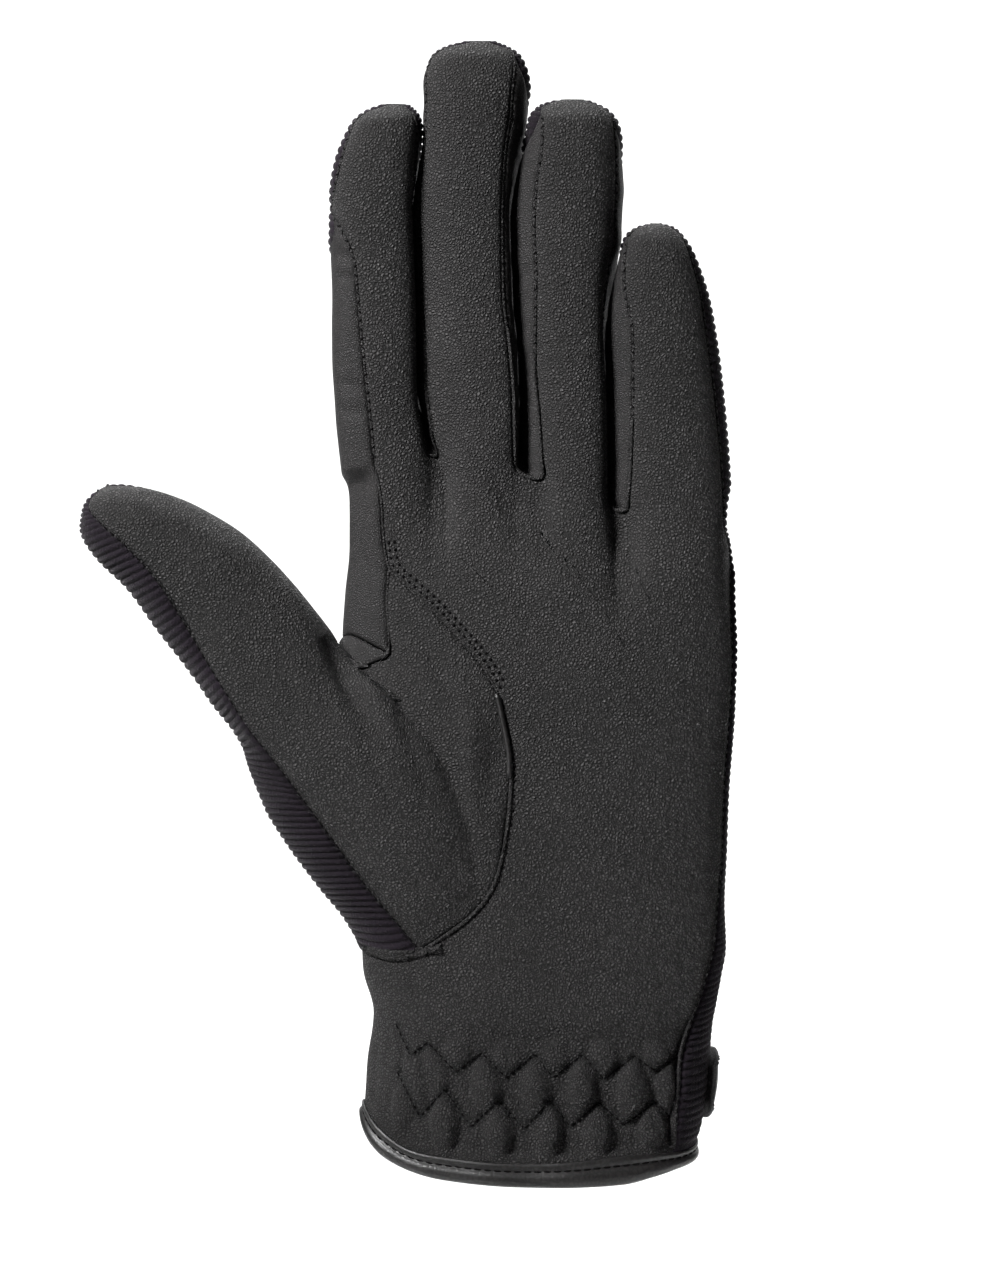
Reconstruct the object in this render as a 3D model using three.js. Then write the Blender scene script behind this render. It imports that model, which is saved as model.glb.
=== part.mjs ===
// A left-hand horse riding glove, full as if worn: fingers up (+Z), palm facing -Y, thumb at -X.
// Millimetres. The origin is the middle of the wrist opening, level with the lowest point of the hem.
import * as THREE from "three";

// Overall sizes. Tables give across as shares of HAND_WIDTH and up as shares of HAND_LENGTH.
const HAND_LENGTH = 240;
const HAND_WIDTH = 81.8;
const PALM_DEPTH = 25;
const FINGER_DEPTH = 18.5;
const THUMB_DEPTH = 21;
const THUMB_FORWARD = 5;
const THENAR_SWELL = 4;
const FINGERTIP_CURL = 6;
const FINGER_NEST = 0.1;
const KNUCKLE_RUN = 30;

// Materials and making.
const LEATHER_WALL = 1.2;
const CLOTH_WALL = 1.3;
const QUIRK_WALL = 0.8;
const SEAM_GAP = 0.4;
const RIM_REACH = 1.2;
const SECTION_POWER = 2.4;
const BACK_SEAM_SHARE = 0.88;
const TIP_WALL_SHARE = 0.45;
const THUMB_SEAM_TURN = 104;

// Hem binding and the strap at the back of the wrist.
const BINDING_PROUD = 0.5;
const BINDING_INSIDE = 1.9;
const BINDING_LIP = 0.7;
const TAB_THICKNESS = 2;
const TAB_LIFT = 0.4;
const TAB_START_TURN = 79;
const TAB_END_TURN = 205;
const TAB_FOOT = 0.056;
const TAB_TOP = 0.119;

const GRAINED_LEATHER = { color: 0x2b2a2a, roughness: 0.62, metalness: 0 };
const SMOOTH_LEATHER = { color: 0x302c2b, roughness: 0.5, metalness: 0 };
const PIPING_LEATHER = { color: 0x262424, roughness: 0.38, metalness: 0 };
const RIBBED_CLOTH = { color: 0x1e191e, roughness: 0.85, metalness: 0 };

// Each finger from crotch to tip: its two edges, the two seams of its front, and its share of FINGER_DEPTH.
const FINGERS = [
  {
    name: "index",
    baseLeft: 0.617,
    baseRight: 0.643,
    rows: [
      { up: 0.643, left: -0.497, right: -0.245, seamLeft: -0.399, seamRight: -0.26, depth: 1 },
      { up: 0.687, left: -0.51, right: -0.268, seamLeft: -0.412, seamRight: -0.276, depth: 1 },
      { up: 0.74, left: -0.521, right: -0.271, seamLeft: -0.43, seamRight: -0.278, depth: 1 },
      { up: 0.784, left: -0.521, right: -0.273, seamLeft: -0.443, seamRight: -0.281, depth: 1 },
      { up: 0.815, left: -0.523, right: -0.276, seamLeft: -0.454, seamRight: -0.284, depth: 0.99 },
      { up: 0.838, left: -0.526, right: -0.278, seamLeft: -0.482, seamRight: -0.286, depth: 0.98 },
      { up: 0.859, left: -0.523, right: -0.281, seamLeft: -0.519, seamRight: -0.289, depth: 0.97 },
      { up: 0.881, left: -0.521, right: -0.281, seamLeft: -0.508, seamRight: -0.289, depth: 0.95 },
      { up: 0.903, left: -0.508, right: -0.284, seamLeft: -0.49, seamRight: -0.291, depth: 0.9 },
      { up: 0.92, left: -0.485, right: -0.286, seamLeft: -0.474, seamRight: -0.294, depth: 0.8 },
      { up: 0.932, left: -0.464, right: -0.294, seamLeft: -0.459, seamRight: -0.302, depth: 0.66 },
      { up: 0.939, left: -0.436, right: -0.307, seamLeft: -0.433, seamRight: -0.312, depth: 0.45 },
      { up: 0.945, left: -0.389, right: -0.327, seamLeft: -0.387, seamRight: -0.33, depth: 0.16 },
    ],
  },
  {
    name: "middle",
    baseLeft: 0.643,
    baseRight: 0.627,
    rows: [
      { up: 0.635, left: -0.229, right: -0.01, seamLeft: -0.222, seamRight: -0.039, depth: 1 },
      { up: 0.67, left: -0.235, right: -0.005, seamLeft: -0.227, seamRight: -0.041, depth: 1 },
      { up: 0.705, left: -0.242, right: -0.008, seamLeft: -0.235, seamRight: -0.044, depth: 1 },
      { up: 0.74, left: -0.255, right: -0.013, seamLeft: -0.247, seamRight: -0.054, depth: 1 },
      { up: 0.775, left: -0.265, right: -0.021, seamLeft: -0.258, seamRight: -0.067, depth: 1 },
      { up: 0.819, left: -0.273, right: -0.026, seamLeft: -0.265, seamRight: -0.07, depth: 1 },
      { up: 0.863, left: -0.278, right: -0.026, seamLeft: -0.271, seamRight: -0.07, depth: 0.99 },
      { up: 0.907, left: -0.278, right: -0.023, seamLeft: -0.271, seamRight: -0.064, depth: 0.97 },
      { up: 0.938, left: -0.284, right: -0.021, seamLeft: -0.276, seamRight: -0.054, depth: 0.93 },
      { up: 0.96, left: -0.286, right: -0.015, seamLeft: -0.278, seamRight: -0.049, depth: 0.86 },
      { up: 0.975, left: -0.281, right: -0.021, seamLeft: -0.276, seamRight: -0.046, depth: 0.74 },
      { up: 0.988, left: -0.263, right: -0.041, seamLeft: -0.26, seamRight: -0.049, depth: 0.54 },
      { up: 0.995, left: -0.229, right: -0.072, seamLeft: -0.227, seamRight: -0.075, depth: 0.33 },
      { up: 1, left: -0.175, right: -0.108, seamLeft: -0.173, seamRight: -0.111, depth: 0.13 },
    ],
  },
  {
    name: "ring",
    baseLeft: 0.627,
    baseRight: 0.595,
    rows: [
      { up: 0.611, left: 0.008, right: 0.219, seamLeft: 0.036, seamRight: 0.211, depth: 1 },
      { up: 0.652, left: 0, right: 0.219, seamLeft: 0.026, seamRight: 0.211, depth: 1 },
      { up: 0.705, left: -0.005, right: 0.219, seamLeft: 0.015, seamRight: 0.211, depth: 1 },
      { up: 0.749, left: -0.013, right: 0.216, seamLeft: 0.013, seamRight: 0.209, depth: 1 },
      { up: 0.793, left: -0.021, right: 0.214, seamLeft: 0.013, seamRight: 0.204, depth: 1 },
      { up: 0.837, left: -0.021, right: 0.22, seamLeft: 0.01, seamRight: 0.211, depth: 0.99 },
      { up: 0.872, left: -0.02, right: 0.227, seamLeft: 0.015, seamRight: 0.216, depth: 0.97 },
      { up: 0.903, left: -0.017, right: 0.222, seamLeft: 0.026, seamRight: 0.214, depth: 0.92 },
      { up: 0.919, left: -0.014, right: 0.219, seamLeft: 0.028, seamRight: 0.211, depth: 0.84 },
      { up: 0.932, left: -0.01, right: 0.209, seamLeft: 0.026, seamRight: 0.204, depth: 0.7 },
      { up: 0.941, left: 0.005, right: 0.186, seamLeft: 0.023, seamRight: 0.183, depth: 0.47 },
      { up: 0.946, left: 0.026, right: 0.157, seamLeft: 0.034, seamRight: 0.155, depth: 0.27 },
      { up: 0.949, left: 0.054, right: 0.137, seamLeft: 0.057, seamRight: 0.134, depth: 0.13 },
    ],
  },
  {
    name: "little",
    baseLeft: 0.595,
    baseRight: 0.575,
    rows: [
      { up: 0.589, left: 0.229, right: 0.505, seamLeft: 0.255, seamRight: 0.495, depth: 1 },
      { up: 0.626, left: 0.226, right: 0.5, seamLeft: 0.26, seamRight: 0.49, depth: 1 },
      { up: 0.67, left: 0.226, right: 0.49, seamLeft: 0.263, seamRight: 0.479, depth: 1 },
      { up: 0.714, left: 0.226, right: 0.477, seamLeft: 0.263, seamRight: 0.464, depth: 1 },
      { up: 0.749, left: 0.223, right: 0.461, seamLeft: 0.26, seamRight: 0.448, depth: 0.99 },
      { up: 0.78, left: 0.221, right: 0.443, seamLeft: 0.242, seamRight: 0.433, depth: 0.96 },
      { up: 0.803, left: 0.222, right: 0.423, seamLeft: 0.238, seamRight: 0.415, depth: 0.9 },
      { up: 0.819, left: 0.227, right: 0.405, seamLeft: 0.24, seamRight: 0.399, depth: 0.8 },
      { up: 0.831, left: 0.24, right: 0.381, seamLeft: 0.247, seamRight: 0.379, depth: 0.6 },
      { up: 0.838, left: 0.263, right: 0.358, seamLeft: 0.265, seamRight: 0.356, depth: 0.35 },
      { up: 0.841, left: 0.289, right: 0.332, seamLeft: 0.291, seamRight: 0.33, depth: 0.13 },
    ],
  },
];

// The hand and cuff from the hem up: both edges and the share of PALM_DEPTH.
const HAND_ROWS = [
  { up: 0, left: -0.407, right: 0.399, depth: 1.24 },
  { up: 0.029, left: -0.436, right: 0.41, depth: 1.24 },
  { up: 0.055, left: -0.441, right: 0.425, depth: 1.23 },
  { up: 0.086, left: -0.436, right: 0.441, depth: 1.21 },
  { up: 0.114, left: -0.43, right: 0.446, depth: 1.19 },
  { up: 0.141, left: -0.418, right: 0.454, depth: 1.15 },
  { up: 0.157, left: -0.418, right: 0.464, depth: 1.12 },
  { up: 0.183, left: -0.441, right: 0.479, depth: 1.09 },
  { up: 0.205, left: -0.446, right: 0.49, depth: 1.08 },
  { up: 0.248, left: -0.459, right: 0.485, depth: 1.06 },
  { up: 0.292, left: -0.466, right: 0.492, depth: 1.05 },
  { up: 0.354, left: -0.472, right: 0.5, depth: 1.05 },
  { up: 0.424, left: -0.477, right: 0.518, depth: 1.03 },
  { up: 0.468, left: -0.497, right: 0.521, depth: 1 },
  { up: 0.512, left: -0.49, right: 0.515, depth: 0.96 },
  { up: 0.556, left: -0.479, right: 0.515, depth: 0.9 },
  { up: 0.6, left: -0.479, right: 0.508, depth: 0.84 },
  { up: 0.635, left: -0.495, right: 0.504, depth: 0.8 },
  { up: 0.661, left: -0.505, right: 0.5, depth: 0.78 },
];

// Seam of the palm on the thumb side, from the hem round the set-in thumb to the index finger.
// face: 1 on the palm side, -1 on the back of the hand, 0 on the edge between them.
const PALM_SEAM_LEFT = [
  { across: -0.387, up: 0.073, face: -1 },
  { across: -0.387, up: 0.12, face: -1 },
  { across: -0.387, up: 0.165, face: -1 },
  { across: -0.387, up: 0.217, face: -1 },
  { across: -0.446, up: 0.21, face: 0 },
  { across: -0.405, up: 0.201, face: 1 },
  { across: -0.348, up: 0.198, face: 1 },
  { across: -0.294, up: 0.205, face: 1 },
  { across: -0.201, up: 0.226, face: 1 },
  { across: -0.142, up: 0.244, face: 1 },
  { across: -0.106, up: 0.263, face: 1 },
  { across: -0.085, up: 0.288, face: 1 },
  { across: -0.067, up: 0.326, face: 1 },
  { across: -0.062, up: 0.356, face: 1 },
  { across: -0.064, up: 0.379, face: 1 },
  { across: -0.082, up: 0.411, face: 1 },
  { across: -0.101, up: 0.434, face: 1 },
  { across: -0.157, up: 0.464, face: 1 },
  { across: -0.253, up: 0.5, face: 1 },
  { across: -0.322, up: 0.522, face: 1 },
  { across: -0.376, up: 0.541, face: 1 },
  { across: -0.389, up: 0.565, face: 1 },
  { across: -0.394, up: 0.595, face: 1 },
];
const WRIST_SEAM_ROWS = 4;
const THUMB_BOTTOM_ROW = 7;
const THUMB_SIDE_ROW = 11;
const THUMB_PEAK_ROW = 20;

// Seam of the palm on the little-finger side, from the hem up.
const PALM_SEAM_RIGHT = [
  { across: 0.358, up: 0.027 },
  { across: 0.366, up: 0.074 },
  { across: 0.374, up: 0.114 },
  { across: 0.397, up: 0.141 },
  { across: 0.415, up: 0.157 },
  { across: 0.433, up: 0.174 },
  { across: 0.454, up: 0.2 },
  { across: 0.466, up: 0.231 },
  { across: 0.477, up: 0.266 },
  { across: 0.484, up: 0.319 },
  { across: 0.491, up: 0.371 },
  { across: 0.503, up: 0.424 },
  { across: 0.508, up: 0.468 },
  { across: 0.503, up: 0.512 },
  { across: 0.503, up: 0.556 },
];

// Lower end of the index side panel's palm seam, below the peak of the thumb piece.
const SIDE_SEAM_END = [
  { across: -0.381, up: 0.512 },
  { across: -0.376, up: 0.486 },
  { across: -0.371, up: 0.464 },
];
const SIDE_PANEL_TOP = 0.859;
const SIDE_PANEL_TAPER = 0.06;
const SIDE_PANEL_ARCH = 0.02;

// The free thumb from its crotch to its tip, as [across, up] of its two edges and its palm-side rib seam.
const THUMB_ROWS = [
  { left: [-0.781, 0.387], right: [-0.505, 0.476], seam: [-0.698, 0.387], depth: 1.12 },
  { left: [-0.835, 0.415], right: [-0.559, 0.501], seam: [-0.753, 0.416], depth: 1.06 },
  { left: [-0.889, 0.45], right: [-0.611, 0.524], seam: [-0.82, 0.45], depth: 1.02 },
  { left: [-0.969, 0.486], right: [-0.675, 0.547], seam: [-0.889, 0.487], depth: 1 },
  { left: [-1.046, 0.521], right: [-0.747, 0.568], seam: [-0.966, 0.525], depth: 1 },
  { left: [-1.121, 0.547], right: [-0.825, 0.586], seam: [-1.034, 0.55], depth: 0.92 },
  { left: [-1.162, 0.569], right: [-0.902, 0.599], seam: [-1.101, 0.574], depth: 0.82 },
  { left: [-1.162, 0.586], right: [-0.987, 0.609], seam: [-1.137, 0.587], depth: 0.65 },
  { left: [-1.152, 0.597], right: [-1.049, 0.613], seam: [-1.144, 0.597], depth: 0.45 },
  { left: [-1.129, 0.606], right: [-1.09, 0.613], seam: [-1.126, 0.607], depth: 0.16 },
];

// The base of the thumb below its crotch: rib seam on the palm side, outer edge, seam on the back.
const THUMB_BASE = [
  { seam: [-0.642, 0.36], side: [-0.753, 0.367], back: [-0.472, 0.459] },
  { seam: [-0.57, 0.327], side: [-0.693, 0.329], back: [-0.369, 0.414] },
  { seam: [-0.497, 0.293], side: [-0.626, 0.293], back: [-0.322, 0.358] },
  { seam: [-0.43, 0.261], side: [-0.557, 0.261], back: [-0.317, 0.306] },
  { seam: [-0.361, 0.233], side: [-0.492, 0.234], back: [-0.34, 0.257] },
];
const RIDGE_AT_FOOT = 0.4;
const THUMB_QUIRK = [-0.459, 0.45];

// The hem: height of the binding's top and foot, at each turn round the wrist (0 palm, 90 little finger).
const HEM_ROWS = [
  { turn: -180, top: 0.048, foot: 0.036 },
  { turn: -135, top: 0.057, foot: 0.045 },
  { turn: -110, top: 0.068, foot: 0.056 },
  { turn: -90, top: 0.072, foot: 0.059 },
  { turn: -75, top: 0.062, foot: 0.042 },
  { turn: -60, top: 0.047, foot: 0.025 },
  { turn: -45, top: 0.032, foot: 0.013 },
  { turn: -30, top: 0.025, foot: 0.006 },
  { turn: 0, top: 0.019, foot: 0 },
  { turn: 30, top: 0.025, foot: 0.002 },
  { turn: 45, top: 0.027, foot: 0.008 },
  { turn: 60, top: 0.028, foot: 0.014 },
  { turn: 75, top: 0.031, foot: 0.018 },
  { turn: 90, top: 0.036, foot: 0.022 },
  { turn: 110, top: 0.042, foot: 0.029 },
  { turn: 135, top: 0.046, foot: 0.034 },
  { turn: 180, top: 0.048, foot: 0.036 },
];

// How finely the pieces are faceted, and how soon the run of the hem and crotches fades into a panel.
const BORDER_FADE = 4;
const FINGER_ROWS = 10;
const FINGER_COLUMNS = 6;
const STRIP_TAPER = 0.68;
const STRIP_END = 0.94;
const WRAP_COLUMNS = 2;
const SIDE_COLUMNS = 4;
const THUMB_FREE_ROWS = 9;
const THUMB_FRONT_COLUMNS = 8;
const THUMB_BACK_COLUMNS = 10;
const BINDING_COLUMNS = 36;
const TAB_COLUMNS = 14;

const { lerp, clamp, degToRad, radToDeg } = THREE.MathUtils;
const ease = (t) => THREE.MathUtils.smoothstep(t, 0, 1);
const steps = (count) => Array.from({ length: count + 1 }, (_, i) => i / count);

// A smooth run through table rows; stops are the places of the rows along it.
function runThrough(rows, stops) {
  const keys = Object.keys(rows[0]).filter((key) => key !== "name");
  const blend = (read, i, share, span) => {
    const slope = (k) => {
      const low = Math.max(k - 1, 0);
      const high = Math.min(k + 1, rows.length - 1);
      return (read(rows[high]) - read(rows[low])) / (stops[high] - stops[low]);
    };
    const t = share;
    const start = read(rows[i]) * (2 * t ** 3 - 3 * t ** 2 + 1) + slope(i) * span * (t ** 3 - 2 * t ** 2 + t);
    return start + read(rows[i + 1]) * (3 * t ** 2 - 2 * t ** 3) + slope(i + 1) * span * (t ** 3 - t ** 2);
  };
  return (place) => {
    const at = clamp(place, stops[0], stops.at(-1));
    let i = 0;
    while (i < rows.length - 2 && stops[i + 1] < at) i += 1;
    const span = stops[i + 1] - stops[i];
    const share = (at - stops[i]) / span;
    return Object.fromEntries(
      keys.map((key) => {
        const several = Array.isArray(rows[0][key]);
        const value = several
          ? rows[0][key].map((_, k) => blend((row) => row[key][k], i, share, span))
          : blend((row) => row[key], i, share, span);
        return [key, value];
      }),
    );
  };
}

// Places of the rows by the distance between them, from 0 to 1.
function stopsBy(rows, spot) {
  const stops = [0];
  for (let i = 1; i < rows.length; i += 1) {
    const a = spot(rows[i - 1]);
    const b = spot(rows[i]);
    stops.push(stops[i - 1] + Math.hypot(...a.map((v, k) => v - b[k])));
  }
  return stops.map((s) => s / stops.at(-1));
}

// Sections are rounded ovals; a turn of 0 looks to the palm side, 90 to the little-finger side.
const spread = (v) => Math.sign(v) * Math.abs(v) ** (2 / SECTION_POWER);
const turnOf = (share) => radToDeg(Math.asin(Math.min(1, Math.abs(share)) ** (SECTION_POWER / 2)));
const BACK_SEAM_TURN = 180 - turnOf(BACK_SEAM_SHARE);

for (const finger of FINGERS) {
  const spot = (row) => [row.up * HAND_LENGTH, row.left * HAND_WIDTH, row.right * HAND_WIDTH];
  finger.run = runThrough(finger.rows, stopsBy(finger.rows, spot));
}
const handRun = runThrough(HAND_ROWS, HAND_ROWS.map((row) => row.up));
const hemRun = runThrough(HEM_ROWS, HEM_ROWS.map((row) => row.turn));

function fingerSection(finger, t) {
  const row = finger.run(t);
  const centre = ((row.left + row.right) / 2) * HAND_WIDTH;
  const half = ((row.right - row.left) / 2) * HAND_WIDTH;
  const foot = finger.rows[0].up;
  const tip = finger.rows.at(-1).up;
  const rise = (row.up - foot) / (tip - foot);
  return {
    centre,
    half,
    rise,
    tip,
    up: row.up,
    depth: (row.depth * FINGER_DEPTH) / 2,
    middle: -FINGERTIP_CURL * rise ** 2,
    frontLeft: turnOf((centre - row.seamLeft * HAND_WIDTH) / half),
    frontRight: turnOf((row.seamRight * HAND_WIDTH - centre) / half),
  };
}

function ovalPoint(finger, section, turn, half, depth) {
  const across = spread(Math.sin(degToRad(turn)));
  const away = -depth * spread(Math.cos(degToRad(turn)));
  const base = lerp(finger.baseLeft, finger.baseRight, (1 + across) / 2);
  const x = section.centre + half * across + FINGER_NEST * away;
  return new THREE.Vector3(x, section.middle + away, lerp(base, section.tip, section.rise) * HAND_LENGTH);
}

// A point on a finger, with the point of its lining behind it.
function onFinger(finger, t, turn, wall) {
  const section = fingerSection(finger, t);
  const { half, depth } = section;
  const point = ovalPoint(finger, section, turn, half, depth);
  const shorter = (v) => Math.max(v - wall, v * TIP_WALL_SHARE);
  const lining = ovalPoint(finger, section, turn, shorter(half), shorter(depth));
  lining.z -= wall * ease((0.75 - depth / (FINGER_DEPTH / 2)) / 0.5);
  return { point, lining, hold: ease((t - 0.08) / 0.3) };
}

function handSection(up) {
  const row = handRun(up);
  return {
    centre: ((row.left + row.right) / 2) * HAND_WIDTH,
    half: ((row.right - row.left) / 2) * HAND_WIDTH,
    depth: (row.depth * PALM_DEPTH) / 2,
  };
}

const BASES = FINGERS.map((finger) => {
  const section = fingerSection(finger, 0);
  const seat = (turn) => ovalPoint(finger, section, turn, section.half, section.depth);
  return {
    finger,
    section,
    front: [seat(-section.frontLeft), seat(section.frontRight)],
    back: [seat(-BACK_SEAM_TURN), seat(BACK_SEAM_TURN)],
  };
});

const CROTCH_ROWS = [
  { across: FINGERS[0].rows[0].left, up: FINGERS[0].baseLeft },
  ...FINGERS.slice(1).map((finger, i) => ({
    across: (FINGERS[i].rows[0].right + finger.rows[0].left) / 2,
    up: finger.baseLeft,
  })),
  { across: FINGERS.at(-1).rows[0].right, up: FINGERS.at(-1).baseRight },
];

function crotchUp(x) {
  const across = x / HAND_WIDTH;
  const next = CROTCH_ROWS.findIndex((row) => row.across > across);
  if (next === 0) return CROTCH_ROWS[0].up;
  if (next < 0) return CROTCH_ROWS.at(-1).up;
  const [a, b] = [CROTCH_ROWS[next - 1], CROTCH_ROWS[next]];
  return lerp(a.up, b.up, (across - a.across) / (b.across - a.across));
}

// Depth of the row of finger bases at x, on the palm side or the back.
function knuckleY(x, isFront) {
  const side = isFront ? "front" : "back";
  const after = BASES.findIndex((base) => x < base[side][1].x);
  const i = after < 0 ? BASES.length - 1 : after;
  if (i > 0 && x < BASES[i][side][0].x) {
    const [a, b] = [BASES[i - 1][side][1], BASES[i][side][0]];
    return lerp(a.y, b.y, clamp((x - a.x) / (b.x - a.x), 0, 1));
  }
  const { centre, half, depth, middle } = BASES[i].section;
  const share = Math.min(1, Math.abs(x - centre) / half);
  const away = depth * (1 - share ** SECTION_POWER) ** (1 / SECTION_POWER);
  return middle + (isFront ? -away : away);
}

function onHand(turn, up) {
  const { centre, half, depth } = handSection(up);
  const x = centre + half * spread(Math.sin(degToRad(turn)));
  const facing = spread(Math.cos(degToRad(turn)));
  const below = clamp(((crotchUp(x) - up) * HAND_LENGTH) / KNUCKLE_RUN, 0, 1);
  const y = lerp(knuckleY(x, facing > 0), -depth * facing, ease(below));
  return new THREE.Vector3(x, y, up * HAND_LENGTH);
}

// The turn at which x lies on the hand at that height; face 1 is the palm side, -1 the back.
function handTurn(x, up, face) {
  const { centre, half } = handSection(up);
  if (face === 0) return 90 * Math.sign(x - centre);
  const turn = Math.sign(x - centre) * turnOf((x - centre) / half);
  return face > 0 ? turn : 180 - turn;
}

const handSpot = ({ across, up, face = 1 }) => ({ turn: handTurn(across * HAND_WIDTH, up, face), up });
const leftOfPalm = (spot) => ({ turn: spot.turn > 180 ? spot.turn - 360 : spot.turn, up: spot.up });

// A sheet is the outer face of one piece as grids of points; solid() gives it its wall.
class Sheet {
  constructor(name, wall, material) {
    Object.assign(this, { name, wall, material, points: [], linings: [], faces: [], found: new Map() });
  }

  add({ point, lining = null, hold = 0 }) {
    const key = point.toArray().map((v) => Math.round(v * 200)).join();
    if (!this.found.has(key)) {
      this.found.set(key, this.points.length);
      this.points.push(point.clone());
      this.linings.push({ lining, hold });
    }
    return this.found.get(key);
  }

  // rows of points, each running so that the outer face is seen with rows going up to the right.
  grid(rows) {
    const numbers = rows.map((row) => row.map((spot) => this.add(spot)));
    for (let i = 1; i < numbers.length; i += 1) {
      for (let j = 1; j < numbers[i].length; j += 1) {
        const [a, b, c, d] = [numbers[i - 1][j - 1], numbers[i - 1][j], numbers[i][j], numbers[i][j - 1]];
        for (const face of [[a, b, c], [a, c, d]]) if (new Set(face).size === 3) this.faces.push(face);
      }
    }
    return this;
  }

  rims() {
    const edges = new Map();
    for (const [a, b, c] of this.faces) {
      for (const [from, to] of [[a, b], [b, c], [c, a]]) edges.set(`${from},${to}`, [from, to]);
    }
    return [...edges.values()].filter(([from, to]) => !edges.has(`${to},${from}`));
  }

  measure() {
    this.normals = this.points.map(() => new THREE.Vector3());
    for (const face of this.faces) {
      const [a, b, c] = face.map((i) => this.points[i]);
      const normal = b.clone().sub(a).cross(c.clone().sub(a));
      for (const i of face) this.normals[i].add(normal);
    }
    for (const normal of this.normals) normal.normalize();
    this.edge = this.rims();
    this.pull = new Map();
    for (const [from, to] of this.edge) {
      const along = this.points[to].clone().sub(this.points[from]).normalize();
      for (const i of [from, to]) {
        const inward = this.normals[i].clone().cross(along);
        this.pull.set(i, (this.pull.get(i) ?? new THREE.Vector3()).add(inward));
      }
    }
  }

  solid() {
    const shrink = SEAM_GAP / 2;
    for (const [i, pull] of this.pull) {
      const reach = Math.min(2, 2 / Math.max(pull.length(), 1));
      this.points[i].addScaledVector(pull.normalize(), shrink * reach);
    }
    const inner = this.points.map((point, i) => {
      const { lining, hold } = this.linings[i];
      const plain = point.clone().addScaledVector(this.shared?.get(i) ?? this.normals[i], -this.wall);
      if (!lining) return plain;
      const slide = this.pull.has(i) ? this.pull.get(i).clone().multiplyScalar(shrink) : new THREE.Vector3();
      return plain.lerp(lining.clone().add(slide), hold);
    });
    const count = this.points.length;
    const position = [...this.points, ...inner].flatMap((p) => p.toArray());
    const index = this.faces.flatMap(([a, b, c]) => [a, b, c, a + count, c + count, b + count]);
    for (const [from, to] of this.edge) index.push(to, from, from + count, to, from + count, to + count);
    const geometry = new THREE.BufferGeometry();
    geometry.setAttribute("position", new THREE.Float32BufferAttribute(position, 3));
    geometry.setIndex(index);
    return meshOf(this.name, geometry, this.material);
  }
}

function meshOf(name, geometry, look) {
  geometry.computeVertexNormals();
  const mesh = new THREE.Mesh(geometry, new THREE.MeshStandardMaterial({ name, ...look }));
  mesh.name = name;
  return mesh;
}

// The nearest spot of a sheet's rim to a point: how far it is, and the sheet's normal there.
function nearestRim(sheet, point) {
  const line = new THREE.Line3();
  const spot = new THREE.Vector3();
  let best = { gap: Infinity };
  for (const [from, to] of sheet.edge) {
    line.set(sheet.points[from], sheet.points[to]);
    const share = line.closestPointToPointParameter(point, true);
    const gap = line.at(share, spot).distanceTo(point);
    if (gap < best.gap) best = { gap, normal: sheet.normals[from].clone().lerp(sheet.normals[to], share) };
  }
  return best;
}

// Where sheets meet, both take the same normal, so that their rims stand side by side.
function matchRims(sheets) {
  for (const sheet of sheets) {
    sheet.shared = new Map();
    for (const i of sheet.pull.keys()) {
      const sum = sheet.normals[i].clone();
      for (const other of sheets.filter((one) => one !== sheet)) {
        const { gap, normal } = nearestRim(other, sheet.points[i]);
        if (gap < RIM_REACH) sum.addScaledVector(normal, 1 - gap / RIM_REACH);
      }
      sheet.shared.set(i, sum.normalize());
    }
  }
}

// Points of a panel of the hand between four borders, each given as turns and heights.
function fillHand(bottom, left, right, top) {
  const columns = top.length - 1;
  const count = left.length - 1;
  const first = top[0].turn;
  const width = top.at(-1).turn - first;
  return left.map((start, r) => {
    const v = r / count;
    if (r === count) return top.map(({ point }) => ({ point }));
    return top.map((cap, j) => {
      const border = [start, right[r]][[0, columns].indexOf(j)];
      if (border?.point) return { point: border.point };
      const u = lerp(j / columns, (cap.turn - first) / width, v);
      const floor = bottom(u);
      const value = (key) => {
        const low = floor[key] - lerp(left[0][key], right[0][key], u);
        const high = cap[key] - lerp(top[0][key], top.at(-1)[key], u);
        return lerp(start[key], right[r][key], u) + low * (1 - v) ** BORDER_FADE + high * v ** BORDER_FADE;
      };
      return { point: onHand(value("turn"), value("up")) };
    });
  });
}

// Row of turns across one finger, from one seam to the other.
const turnsAcross = (from, to, columns) => steps(columns).map((share) => lerp(from, to, share));

const sideTaper = (section) => clamp((SIDE_PANEL_TOP - section.up) / SIDE_PANEL_TAPER, 0, 1);

// Towards a fingertip the back draws round to the seam of the front, and the strips between end.
const tipTaper = (t) => ease((t - STRIP_TAPER) / (STRIP_END - STRIP_TAPER));

// How far round the finger's two sides the back reaches.
function backRightTurn(finger, section, t) {
  if (finger.name === "little") return section.frontRight;
  return lerp(BACK_SEAM_TURN, section.frontRight, tipTaper(t));
}

function backLeftTurn(finger, section, t) {
  if (finger.name !== "index") return lerp(BACK_SEAM_TURN, section.frontLeft, tipTaper(t));
  if (section.up > SIDE_PANEL_TOP) return section.frontLeft;
  return lerp(section.frontLeft, BACK_SEAM_TURN, ease(sideTaper(section)));
}

const frontTurns = (finger, t) => {
  const section = fingerSection(finger, t);
  return turnsAcross(-section.frontLeft, section.frontRight, FINGER_COLUMNS);
};

const backTurns = (finger, t) => {
  const section = fingerSection(finger, t);
  const extra = ["index", "little"].includes(finger.name) ? WRAP_COLUMNS : 0;
  const from = backRightTurn(finger, section, t);
  return turnsAcross(from, 360 - backLeftTurn(finger, section, t), FINGER_COLUMNS + extra);
};

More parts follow.
